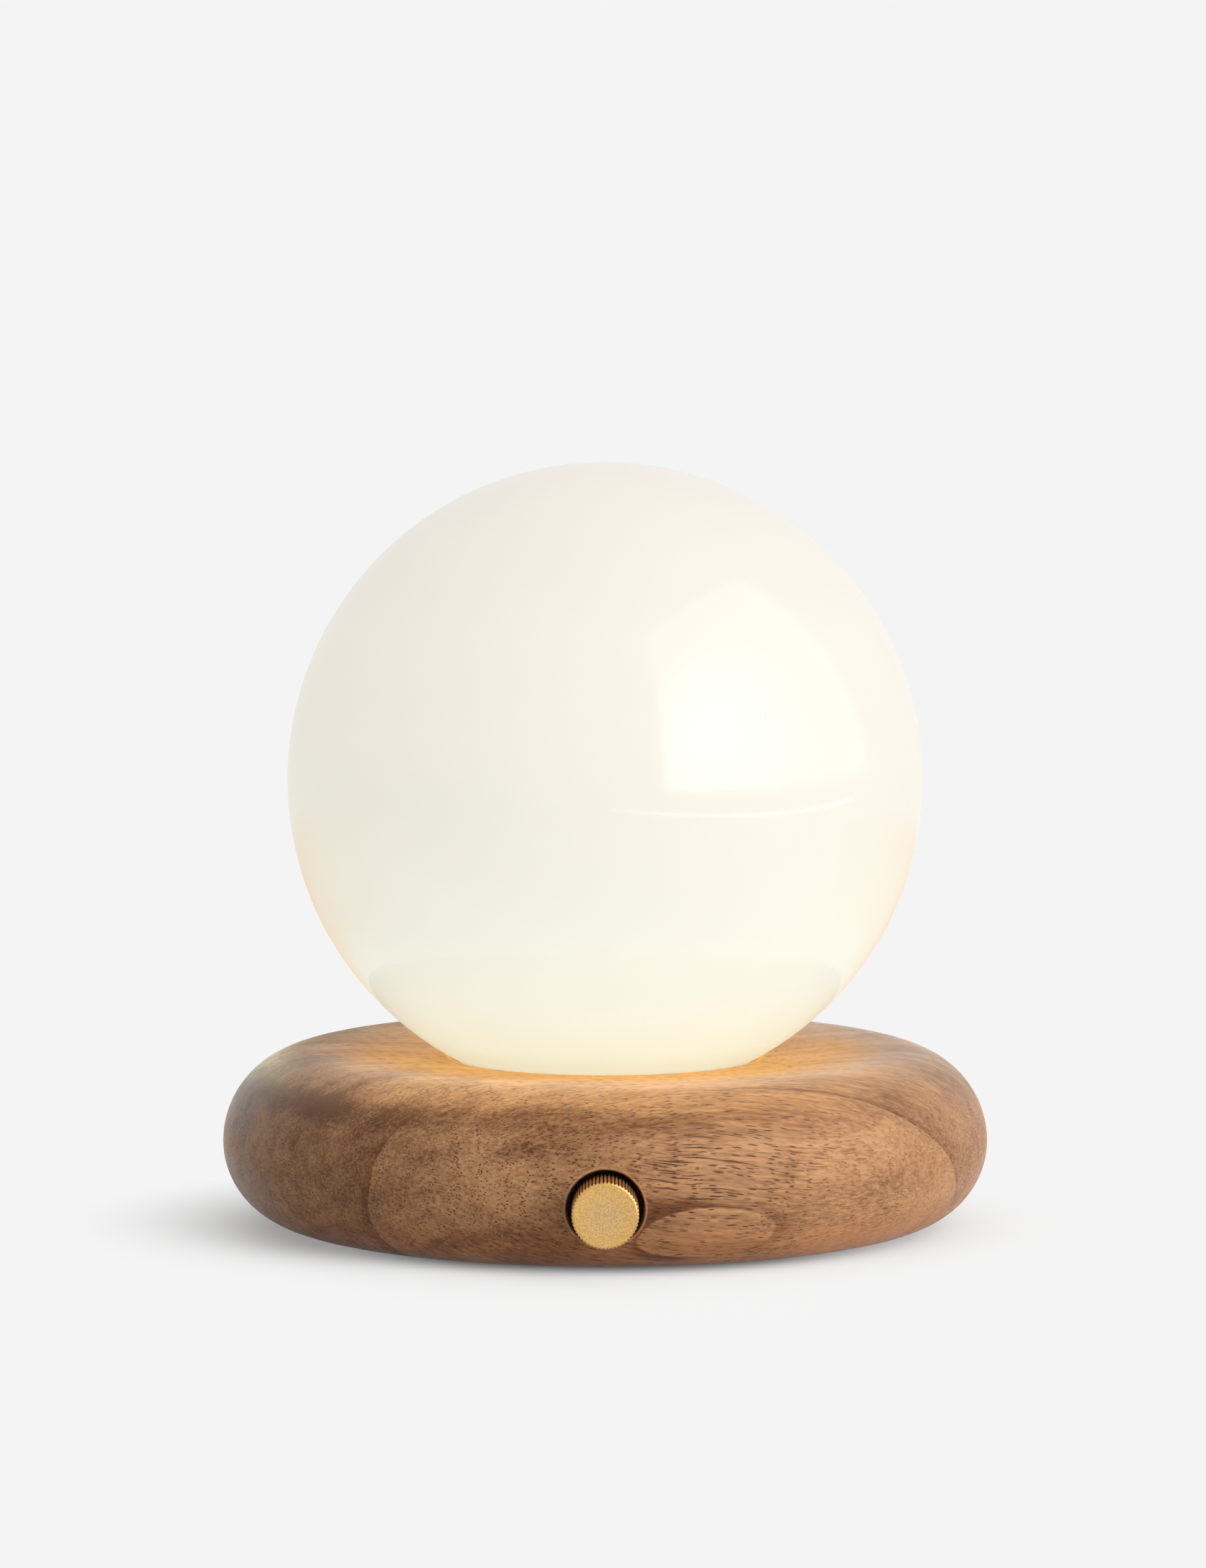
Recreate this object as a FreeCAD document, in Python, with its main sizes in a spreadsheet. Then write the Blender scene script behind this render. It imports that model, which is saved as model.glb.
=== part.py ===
import FreeCAD, Part
import math
import os

import Sketcher
from FreeCAD import Placement, Rotation, Vector

# Rechargeable table lamp: an opal glass globe twist-locked onto a turned walnut base, with a knurled
# brass dimmer knob at the front and a charging inlet at the back.
# Millimetres. The origin is the centre of the foot pad's underside, +Z is up, the knob faces -Y.

doc = FreeCAD.newDocument("table_lamp")
sheet = doc.addObject("Spreadsheet::Sheet", "dims")

SIZES = (
    # turned walnut base
    ("rim_upper_radius", 21.6, "round of the rim from its widest line up to the crest"),
    ("dish_depth", 1.8, "fall of the top from the crest in to the globe"),
    ("bottom_land", 3.5, "flat ring of wood around the base plate"),
    ("ledge_width", 7.0, "ledge in the wood that the base plate is screwed to"),
    ("cavity_clearance", 5.0, "free way for leads around the battery"),
    ("web_thickness", 4.9, "wood left between the cavity and the globe recess"),
    ("wire_hole_diameter", 9.2, "hole for the LED leads through web, plate and board"),
    ("hole_round", 0.5, "eased edge of the knob and inlet holes in the rim"),
    ("pilot_clearance", 0.05, "radial room between a screw shank and its hole in wood"),
    # base plate and foot pad
    ("plate_thickness", 2.0, "steel base plate"),
    ("plate_gap", 0.4, "radial gap around the base plate"),
    ("pad_thickness", 1.0, "non-slip foot pad"),
    ("pad_margin", 5.0, "plate left bare between the pad and the cavity line"),
    # screws: countersunk in the plate, small countersunk in the lock ring, pan heads elsewhere
    ("plate_screw_head", 6.4, "countersunk head diameter"),
    ("plate_screw_sink", 1.7, "countersunk head height"),
    ("plate_screw_shank", 3.2, "shank diameter"),
    ("plate_screw_bite", 11.0, "length in the wood"),
    ("ring_screw_head", 4.4, "countersunk head diameter"),
    ("ring_screw_sink", 1.2, "countersunk head height"),
    ("pan_head", 4.6, "pan head diameter"),
    ("pan_height", 1.7, "pan head height"),
    ("small_shank", 2.4, "shank diameter of the ring and pan head screws"),
    ("small_bite", 4.0, "length of the ring and pan head screws in the wood"),
    ("hole_clearance", 0.15, "radial room around a shank in a clamped piece"),
    ("drive_across", 1.3, "corner radius of the hexagon drive"),
    ("drive_depth", 0.8, "depth of the hexagon drive"),
    # glass globe
    ("globe_diameter", 150.0, "outside of the glass"),
    ("globe_wall", 3.0, "glass thickness"),
    ("globe_sink", 11.2, "depth of the full sphere's lowest point below the crest"),
    ("mouth_diameter", 55.6, "opening ground into the bottom of the glass"),
    ("seat_gap", 0.7, "radial gap between glass and wood at the dish"),
    # bayonet collar, bond, gasket and lock ring
    ("bond_thickness", 0.5, "silicone bead between glass and collar"),
    ("flange_thickness", 1.5, "collar flange under the glass"),
    ("flange_inset", 0.7, "flange edge inside the glass edge"),
    ("collar_inset", 0.6, "collar bore inside the mouth of the glass"),
    ("collar_wall", 2.8, "skirt of the collar"),
    ("lug_reach", 3.3, "radial length of a bayonet lug"),
    ("lug_thickness", 2.3, "height of a bayonet lug"),
    ("lug_angle", 22.0, "width of a bayonet lug, degrees"),
    ("lug_play", 0.2, "room above and below a lug"),
    ("lug_end_play", 0.6, "room beside a lug at the ends of its travel, degrees"),
    ("notch_play", 2.0, "extra width of an entry notch each side, degrees"),
    ("twist_angle", 30.0, "turn from locked to free, degrees"),
    ("ring_gap", 0.4, "radial room between collar and lock ring"),
    ("ring_wall", 5.6, "radial width of the lock ring"),
    ("ring_floor", 1.8, "lock ring below its lug pockets"),
    ("ring_lip", 2.5, "lock ring above its lug pockets"),
    ("ring_room", 0.6, "least radial room around the lock ring in its recess"),
    ("gasket_thickness", 1.1, "silicone gasket on the lock ring"),
    ("gasket_width", 3.0, "radial width of the gasket"),
    # light source
    ("led_gap", 2.2, "radial room between collar and heat spreader"),
    ("led_plate_thickness", 3.0, "aluminium heat spreader"),
    ("led_board_inset", 3.0, "heat spreader left bare around the LED board"),
    ("led_board_thickness", 1.6, "LED board"),
    ("led_circle", 26.0, "diameter of the circle of LEDs"),
    ("led_width", 2.8, "LED package width"),
    ("led_height", 0.8, "LED package height"),
    ("led_screw_inset", 4.0, "screw circle inside the LED board's edge"),
    # battery
    ("cell_diameter", 18.4, "18650 cell"),
    ("cell_length", 65.2, "18650 cell"),
    ("cell_gap", 1.1, "room between the two cells"),
    ("cell_crimp", 0.5, "depth of the crimp groove at the cell's cap"),
    ("battery_wire_gap", 1.7, "room between the rear cell and the LED lead hole"),
    ("foam_thickness", 1.1, "foam between plate and cells, compressed"),
    ("foam_length", 50.0, "foam along the cells"),
    ("foam_margin", 3.2, "foam short of the cells' outer sides"),
    ("cradle_thickness", 2.0, "cradle above the cells"),
    ("cradle_grip", 5.0, "depth of the saddles below the cells' tops"),
    ("cradle_gap", 0.15, "radial room between cell and saddle"),
    ("cradle_margin", 2.3, "cradle outside the cells' sides"),
    ("ear_reach", 8.0, "screw ear beyond the cell ends"),
    ("ear_width", 10.0, "screw ear"),
    ("strip_thickness", 0.3, "nickel strip"),
    ("strip_width", 7.0, "nickel strip"),
    ("strip_overlap", 5.0, "nickel strip beyond each cell's axis"),
    # dimmer and knob
    ("knob_height", 16.8, "height of the dimmer axis above the table"),
    ("knob_diameter", 15.2, "over the knurl"),
    ("knob_reach", 9.8, "knob face in front of the rim"),
    ("knob_gap", 1.2, "radial gap between knob and its hole in the rim"),
    ("knob_chamfer", 0.45, "edge of the knob's face"),
    ("knob_recess", 8.1, "depth of the knob's hole in the rim"),
    ("knob_back_gap", 0.6, "knob clear of the bush"),
    ("knob_face_wall", 3.5, "brass in front of the shaft bore"),
    ("knurl_count", 54, "grooves around the knob"),
    ("knurl_depth", 0.3, "groove depth"),
    ("knurl_half_width", 0.34, "half width of a groove at its mouth"),
    ("dimmer_wall", 4.5, "wood clamped between dimmer and nut"),
    ("dimmer_diameter", 14.0, "dimmer body"),
    ("dimmer_length", 9.8, "dimmer body"),
    ("dimmer_room", 2.0, "room around the dimmer body in its pocket"),
    ("bush_diameter", 7.0, "threaded bush"),
    ("bush_length", 7.5, "threaded bush"),
    ("bush_clearance", 0.1, "radial room between bush and wood"),
    ("washer_diameter", 12.5, "dimmer washer"),
    ("washer_thickness", 0.5, "dimmer washer"),
    ("nut_across", 5.7, "corner radius of the dimmer nut"),
    ("nut_thickness", 2.0, "dimmer nut"),
    ("shaft_diameter", 6.0, "dimmer shaft"),
    ("shaft_clearance", 0.05, "radial running fit of the shaft in its bush"),
    ("shaft_fit", 0.02, "radial fit of the shaft in the knob"),
    ("shaft_depth", 6.0, "shaft inside the dimmer body"),
    ("shaft_flat", 0.6, "depth of the flat on the shaft"),
    ("grub_diameter", 3.0, "grub screw in the underside of the knob"),
    ("grub_drive", 0.85, "corner radius of the grub screw's hexagon drive"),
    ("grub_clearance", 0.04, "radial room of the grub screw in its thread"),
    ("grub_sink", 0.5, "grub screw below the knurl"),
    ("grub_setback", 3.2, "grub screw in front of the knob's back edge"),
    ("pin_pitch", 3.0, "dimmer pins, one above the other"),
    ("pin_length", 3.5, "dimmer pins behind the body"),
    ("pin_width", 1.0, "dimmer pin"),
    # charging inlet and control board
    ("port_height", 16.8, "height of the inlet's axis above the table"),
    ("back_wall", 12.5, "wood left behind the inlet's pocket"),
    ("back_pocket_margin", 1.5, "pocket wider than the board, each side"),
    ("back_pocket_drop", 6.8, "pocket below the inlet's axis"),
    ("bezel_width", 15.4, "bezel tube"),
    ("bezel_height", 9.4, "bezel tube"),
    ("bezel_wall", 1.4, "bezel tube and flange"),
    ("bezel_rim", 2.0, "bezel flange beyond its tube"),
    ("bezel_inset", 2.4, "bezel mouth behind the widest line of the rim"),
    ("bezel_gap", 0.15, "room around bezel and socket"),
    ("socket_width", 9.0, "inlet shell"),
    ("socket_height", 3.2, "inlet shell"),
    ("socket_length", 7.4, "inlet shell"),
    ("socket_wall", 0.3, "inlet shell"),
    ("socket_overhang", 3.1, "inlet shell past the board's edge"),
    ("tongue_width", 6.7, "contact tongue in the inlet"),
    ("tongue_setback", 1.2, "contact tongue behind the inlet's mouth"),
    ("tongue_height", 0.7, "contact tongue in the inlet"),
    ("board_width", 31.0, "control board"),
    ("board_length", 44.4, "control board"),
    ("board_thickness", 1.6, "control board"),
    ("board_end_gap", 0.2, "board clear of the bezel flange"),
    ("board_screw_inset", 3.5, "board screws from its sides"),
    ("board_screw_front", 10.0, "front board screws from its front edge"),
    ("board_screw_back", 12.4, "rear board screws from its back edge"),
    ("spacer_diameter", 6.0, "board spacer"),
    ("chip_spread", 4.5, "parts on the board, each side of its middle"),
    ("chip_row", 15.0, "controller and charger from the board's back edge"),
    ("chip_size", 5.0, "controller and charger"),
    ("chip_height", 1.0, "controller and charger"),
    ("coil_row", 26.0, "coil and buffer can from the board's back edge"),
    ("coil_size", 7.0, "coil"),
    ("coil_height", 4.0, "coil"),
    ("can_diameter", 5.0, "buffer can"),
    ("can_height", 6.0, "buffer can"),
    ("charge_led_size", 1.4, "charge light on the board"),
    ("charge_led_inset", 2.5, "charge light from the board's side"),
    ("pipe_diameter", 2.5, "charge light pipe"),
    ("pipe_head", 4.0, "light pipe's inner flange"),
    ("pipe_head_thickness", 1.0, "light pipe's inner flange"),
    ("pipe_gap", 0.1, "radial room around the light pipe"),
    ("pipe_inset", 1.4, "light pipe's end behind the widest line of the rim"),
    ("connector_width", 5.0, "lead connector"),
    ("connector_length", 6.0, "lead connector"),
    ("connector_height", 6.0, "lead connector"),
    ("connector_pitch", 8.0, "battery connectors beside the LED connector"),
    # leads
    ("lead_diameter", 1.4, "insulated wire"),
    ("lead_spread", 1.0, "LED leads, each side of the lamp's axis"),
    ("lead_setback", 2.9, "LED leads behind the lamp's axis"),
    ("lead_landing", 6.0, "where the LED leads land on the LED board, each side"),
    ("lead_standoff", 7.0, "battery leads out from the cell ends"),
    ("lead_wall_gap", 2.0, "dimmer leads inside the cavity wall"),
    ("lead_pitch", 1.7, "dimmer leads at their connector"),
)

for row, (alias, number, meaning) in enumerate(SIZES, start=1):
    sheet.set(f"A{row}", alias)
    sheet.set(f"B{row}", str(number))
    sheet.set(f"C{row}", meaning)
    sheet.setAlias(f"B{row}", alias)
doc.recompute()

PLATE_SCREW_COUNT = 4
LUG_COUNT = 3
LED_COUNT = 8
UP = Rotation()
DOWN = Rotation(Vector(1, 0, 0), 180)
FRONT = Rotation(Vector(1, 0, 0), 90)
BACK = Rotation(Vector(1, 0, 0), -90)
RIGHT = Rotation(Vector(0, 1, 0), 90)

# Places that several pieces share, from the foot pad upwards.
wood_bottom = "dims.pad_thickness"
plate_top = f"({wood_bottom} + dims.plate_thickness)"
cell_radius = "(dims.cell_diameter / 2)"
cell_height = f"({plate_top} + dims.foam_thickness + {cell_radius})"
ceiling = f"({plate_top} + dims.foam_thickness + dims.cell_diameter + dims.cradle_thickness)"
recess_floor = f"({ceiling} + dims.web_thickness)"
pocket_floor = f"({recess_floor} + dims.ring_floor)"
pocket_height = "(dims.lug_thickness + 2 * dims.lug_play)"
ring_top = f"({pocket_floor} + {pocket_height} + dims.ring_lip)"
gasket_top = f"({ring_top} + dims.gasket_thickness)"
flange_top = f"({gasket_top} + dims.flange_thickness)"
glass_bottom = f"({flange_top} + dims.bond_thickness)"
globe_radius = "(dims.globe_diameter / 2)"
globe_inner_radius = f"({globe_radius} - dims.globe_wall)"
mouth_radius = "(dims.mouth_diameter / 2)"
globe_centre = f"({glass_bottom} + sqrt({globe_inner_radius}^2 - {mouth_radius}^2))"
glass_foot_radius = f"sqrt({globe_radius}^2 - ({globe_centre} - {glass_bottom})^2)"
wood_top = f"({globe_centre} - {globe_radius} + dims.globe_sink)"
seat_height = f"({wood_top} - dims.dish_depth)"

# Radii of the bayonet. The recess in the wood clears the glass at the dish and lets the ring in.
collar_bore = f"({mouth_radius} - dims.collar_inset)"
skirt_radius = f"({collar_bore} + dims.collar_wall)"
lug_radius = f"({skirt_radius} + dims.lug_reach)"
ring_bore = f"({skirt_radius} + dims.ring_gap)"
pocket_radius = f"({lug_radius} + dims.ring_gap)"
ring_radius = f"({ring_bore} + dims.ring_wall)"
glass_seat_radius = f"sqrt({globe_radius}^2 - ({globe_centre} - {seat_height})^2)"
seat_radius = f"max({glass_seat_radius} + dims.seat_gap; {ring_radius} + dims.ring_room)"

# The cavity is drawn around the battery, and the base around the cavity.
rear_cell = f"(-dims.wire_hole_diameter / 2 - dims.battery_wire_gap - {cell_radius})"
front_cell = f"({rear_cell} - dims.cell_diameter - dims.cell_gap)"
battery_end = "(dims.cell_length / 2)"
battery_corner = f"sqrt(({battery_end} + dims.strip_thickness)^2 + ({cell_radius} - {front_cell})^2)"
cavity_radius = f"({battery_corner} + dims.cavity_clearance)"
plate_radius = f"({cavity_radius} + dims.ledge_width)"
rim_lower_radius = f"({wood_top} - {wood_bottom} - dims.rim_upper_radius)"
rim_height = f"({wood_bottom} + {rim_lower_radius})"
base_radius = f"({plate_radius} + dims.plate_gap + dims.bottom_land + {rim_lower_radius})"
crest_radius = f"({base_radius} - dims.rim_upper_radius)"
dish_radius = f"((({crest_radius} - {seat_radius})^2 + dims.dish_depth^2) / (2 * dims.dish_depth))"

# Distances of the dimmer's pieces in front of the lamp's axis.
recess_depth_line = f"({base_radius} - dims.knob_recess)"
dimmer_face = f"({recess_depth_line} - dims.dimmer_wall)"
dimmer_back = f"({dimmer_face} - dims.dimmer_length)"
bush_end = f"({dimmer_face} + dims.bush_length)"
knob_back = f"({bush_end} + dims.knob_back_gap)"
knob_face = f"({base_radius} + dims.knob_reach)"
bore_end = f"({knob_face} - dims.knob_face_wall)"
knob_hole_radius = "(dims.knob_diameter / 2 + dims.knob_gap)"

# Distances of the inlet's pieces behind the lamp's axis.
pocket_end = f"({base_radius} - dims.back_wall)"
flange_face = f"({pocket_end} - dims.bezel_wall)"
board_back = f"({flange_face} - dims.board_end_gap)"
board_front = f"({board_back} - dims.board_length)"
board_top = "(dims.port_height - dims.socket_height / 2)"
board_bottom = f"({board_top} - dims.board_thickness)"
socket_mouth = f"({board_back} + dims.socket_overhang)"
bezel_hole_width = "(dims.bezel_width + 2 * dims.bezel_gap)"
bezel_hole_height = "(dims.bezel_height + 2 * dims.bezel_gap)"
lead_level = f"({board_top} + dims.connector_height / 2)"
dimmer_connector = f"({board_back} - dims.board_length / 2)"
charge_led_line = "(dims.board_width / 2 - dims.charge_led_inset)"

# The light source stands inside the bayonet.
led_plate_radius = f"({collar_bore} - dims.led_gap)"
led_plate_top = f"({recess_floor} + dims.led_plate_thickness)"
led_board_radius = f"({led_plate_radius} - dims.led_board_inset)"
led_board_top = f"({led_plate_top} + dims.led_board_thickness)"
wire_hole_radius = "(dims.wire_hole_diameter / 2)"

pieces = []


def value(expression):
    """The present number of an expression on the sheet."""
    return float(sheet.evalExpression(expression))


def piece(label, thing):
    """Names a finished piece and keeps it for writing."""
    thing.Label = label
    pieces.append(thing)
    return thing


def put(thing, x="0", y="0", z="0", facing=UP):
    """Places a thing by expressions, turned so that its own Z axis faces a side."""
    thing.Placement = Placement(Vector(value(x), value(y), value(z)), facing)
    for letter, expression in zip("xyz", (x, y, z)):
        thing.setExpression(f"Placement.Base.{letter}", expression)
    return thing


def block(x, y, z):
    """A box between pairs of expressions on each axis."""
    thing = doc.addObject("Part::Box", "block")
    for side, (low, high) in zip(("Length", "Width", "Height"), (x, y, z)):
        thing.setExpression(side, f"({high}) - ({low})")
    return put(thing, x[0], y[0], z[0])


def rod(radius, length, x="0", y="0", z="0", facing=UP):
    """A cylinder that starts at a point and runs the way it faces."""
    thing = doc.addObject("Part::Cylinder", "rod")
    thing.setExpression("Radius", radius)
    thing.setExpression("Height", length)
    return put(thing, x, y, z, facing)


def cone(foot_radius, top_radius, length, x="0", y="0", z="0", facing=UP):
    """A cone that starts at a point and runs the way it faces."""
    thing = doc.addObject("Part::Cone", "cone")
    thing.setExpression("Radius1", foot_radius)
    thing.setExpression("Radius2", top_radius)
    thing.setExpression("Height", length)
    return put(thing, x, y, z, facing)


def hexagon(corner_radius, length, x="0", y="0", z="0", facing=UP):
    """A six-sided prism that starts at a point and runs the way it faces."""
    thing = doc.addObject("Part::Prism", "hexagon")
    thing.Polygon = 6
    thing.setExpression("Circumradius", corner_radius)
    thing.setExpression("Height", length)
    return put(thing, x, y, z, facing)


def sector(radius, length, start, sweep, z):
    """A wedge of a cylinder about the lamp's axis, from a start angle over a sweep in degrees."""
    thing = rod(radius, length, z=z, facing=Rotation(Vector(0, 0, 1), value(start)))
    thing.setExpression("Placement.Rotation.Angle", start)
    thing.setExpression("Angle", sweep)
    return thing


def union(things):
    thing = doc.addObject("Part::MultiFuse", "union")
    thing.Shapes = things
    return thing


def cut(base, tools):
    thing = doc.addObject("Part::Cut", "cut")
    thing.Base = base
    thing.Tool = tools[0] if len(tools) == 1 else union(tools)
    return thing


def group(things):
    thing = doc.addObject("Part::Compound", "group")
    thing.Links = things
    return thing


def plane_of(body, role):
    return next(feature for feature in body.Origin.OriginFeatures if feature.Role == role)


def bound_point(sketch, edge, end, name, expressions):
    """Ties a sketch point to a pair of expressions, or to an axis where one of them is zero."""
    for kind, axis, expression in zip(("DistanceX", "DistanceY"), (-2, -1), expressions):
        if expression == "0":
            sketch.addConstraint(Sketcher.Constraint("PointOnObject", edge, end, axis))
        else:
            number = value(expression)
            index = sketch.addConstraint(Sketcher.Constraint(kind, -1, 1, edge, end, number))
            sketch.renameConstraint(index, f"{name}{kind[-1]}")
            sketch.setExpression(f"Constraints.{name}{kind[-1]}", expression)


def outline(sketch, corners, arcs=None):
    """A closed outline through corners, with an arc (centre, radius) after some of them."""
    arcs = arcs or {}
    points = [Vector(value(across), value(along), 0) for across, along in corners]
    edges = []
    for index, start in enumerate(points):
        finish = points[(index + 1) % len(points)]
        if index not in arcs:
            edges.append((sketch.addGeometry(Part.LineSegment(start, finish)), 1, 2))
            continue
        (across, along), radius = arcs[index]
        middle = Vector(value(across), value(along), 0)
        from_angle = math.atan2(start.y - middle.y, start.x - middle.x)
        to_angle = math.atan2(finish.y - middle.y, finish.x - middle.x)
        circle = Part.Circle(middle, Vector(0, 0, 1), value(radius))
        if (to_angle - from_angle) % (2 * math.pi) < math.pi:
            edge = (sketch.addGeometry(Part.ArcOfCircle(circle, from_angle, to_angle)), 1, 2)
        else:
            edge = (sketch.addGeometry(Part.ArcOfCircle(circle, to_angle, from_angle)), 2, 1)
        edges.append(edge)
        bend = sketch.addConstraint(Sketcher.Constraint("Radius", edge[0], value(radius)))
        sketch.renameConstraint(bend, f"bend{index}")
        sketch.setExpression(f"Constraints.bend{index}", radius)
    for index, (edge, first, last) in enumerate(edges):
        following, following_first, _ = edges[(index + 1) % len(edges)]
        sketch.addConstraint(Sketcher.Constraint("Coincident", edge, last, following, following_first))
        bound_point(sketch, edge, first, f"corner{index}", corners[index])


def turned(corners, arcs=None, x="0", y="0", z="0", facing=UP):
    """A lathe-turned piece: an outline of (radius, height) corners turned about its own Z axis."""
    body = doc.addObject("PartDesign::Body", "turned")
    sketch = body.newObject("Sketcher::SketchObject", "profile")
    sketch.AttachmentSupport = [(plane_of(body, "XZ_Plane"), "")]
    sketch.MapMode = "FlatFace"
    outline(sketch, corners, arcs)
    turning = body.newObject("PartDesign::Revolution", "turning")
    turning.Profile = sketch
    turning.ReferenceAxis = (sketch, ["V_Axis"])
    turning.Angle = 360
    return put(body, x, y, z, facing)


def ring(inner, outer, bottom, top):
    """A plain turned ring."""
    return turned([(inner, bottom), (outer, bottom), (outer, top), (inner, top)])


def slot_bar(width, height, start, end):
    """A bar with round ends along Y, on the inlet's axis."""
    half_flat = f"(({width}) - ({height})) / 2"
    half_height = f"({height}) / 2"
    low = f"dims.port_height - {half_height}"
    high = f"dims.port_height + {half_height}"
    middle = block((f"-{half_flat}", half_flat), (start, end), (low, high))
    length = f"({end}) - ({start})"
    ends = [
        rod(half_height, length, f"{sign}{half_flat}", start, "dims.port_height", BACK)
        for sign in ("-", "")
    ]
    return union([middle, *ends])


def dimmer_rod(radius, length, start):
    """A cylinder on the dimmer's axis that starts so far in front of the lamp's axis."""
    return rod(radius, length, "0", f"-({start})", "dims.knob_height", FRONT)


def eased(thing, radius, *mouths):
    """Rounds the edges of a piece that lie all along one of the mouths, each a test of a point."""
    doc.recompute()
    chosen = []
    for index, edge in enumerate(thing.Shape.Edges, start=1):
        points = edge.discretize(5)
        if any(all(mouth(point) for point in points) for mouth in mouths):
            chosen.append((index, value(radius), value(radius)))
    round_over = doc.addObject("Part::Fillet", "eased")
    round_over.Base = thing
    round_over.Edges = chosen
    return round_over


def around(count, start, radius):
    """Expressions for places on a circle about the lamp's axis."""
    angles = [f"({start} + {360 / count} * {index}) * 1deg" for index in range(count)]
    return [(f"({radius}) * cos({angle})", f"({radius}) * sin({angle})") for angle in angles]


def sunk_screw(head, sink, shank, length, x, y, z, facing):
    """A countersunk screw whose flat head lies at a point and faces a side."""
    taper = cone(f"({shank}) / 2", f"({head}) / 2", sink, z=f"-({sink})")
    stem = rod(f"({shank}) / 2", f"({length}) - ({sink})", z=f"-({length})")
    drive = hexagon("dims.drive_across", "dims.drive_depth", z="-dims.drive_depth")
    return put(cut(union([taper, stem]), [drive]), x, y, z, facing)


def pan_screw(length, x, y, z, facing):
    """A pan head screw whose head sits on a point and faces a side."""
    head = rod("dims.pan_head / 2", "dims.pan_height")
    stem = rod("dims.small_shank / 2", length, z=f"-({length})")
    drive = hexagon("dims.drive_across", "dims.drive_depth", z="dims.pan_height - dims.drive_depth")
    return put(cut(union([head, stem]), [drive]), x, y, z, facing)


def lead(points):
    """An insulated wire along runs joined by arcs as large as the runs allow."""
    edges = []
    start = points[0]
    for before, corner, after in zip(points, points[1:], points[2:]):
        inward = (before - corner).normalize()
        onward = (after - corner).normalize()
        reach = 0.45 * min((before - corner).Length, (after - corner).Length)
        half_turn = (corner - before).getAngle(after - corner) / 2
        rise = reach / math.tan(half_turn) * (1 / math.cos(half_turn) - 1)
        bend_start = corner + inward * reach
        bend_end = corner + onward * reach
        bend_middle = corner + (inward + onward).normalize() * rise
        edges.append(Part.LineSegment(start, bend_start).toShape())
        edges.append(Part.Arc(bend_start, bend_middle, bend_end).toShape())
        start = bend_end
    edges.append(Part.LineSegment(start, points[-1]).toShape())
    route = Part.Wire(edges)
    section = Part.Circle(points[0], points[1] - points[0], value("dims.lead_diameter / 2"))
    thing = doc.addObject("Part::Feature", "lead")
    thing.Shape = route.makePipeShell([Part.Wire(section.toShape())], True, False)
    return thing


# Where the screws go: three round the light, three round the lock ring, four in the plate and the
# board, two in the cradle.
plate_screw_circle = f"({cavity_radius} + {plate_radius}) / 2"
plate_screw_places = around(PLATE_SCREW_COUNT, 45, plate_screw_circle)
pocket_sweep = "(dims.lug_angle + dims.twist_angle + 2 * dims.lug_end_play)"
ring_screw_start = "(60 + dims.twist_angle / 2 + 90)"
ring_screw_places = around(LUG_COUNT, ring_screw_start, f"({ring_bore} + {ring_radius}) / 2")
led_screw_places = around(LUG_COUNT, 30, f"{led_board_radius} - dims.led_screw_inset")
board_sides = [f"{sign}(dims.board_width / 2 - dims.board_screw_inset)" for sign in ("-", "")]
board_rows = [f"{board_front} + dims.board_screw_front", f"{board_back} - dims.board_screw_back"]
board_screw_places = [(side, along) for along in board_rows for side in board_sides]
battery_middle = f"({front_cell} + {rear_cell}) / 2"
ear_middle = f"({battery_end} + dims.cradle_margin + dims.ear_reach / 2)"
cradle_screw_places = [(f"-{ear_middle}", battery_middle), (ear_middle, battery_middle)]
pilot_radius = "dims.small_shank / 2 + dims.pilot_clearance"
pass_radius = "dims.small_shank / 2 + dims.hole_clearance"


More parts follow.
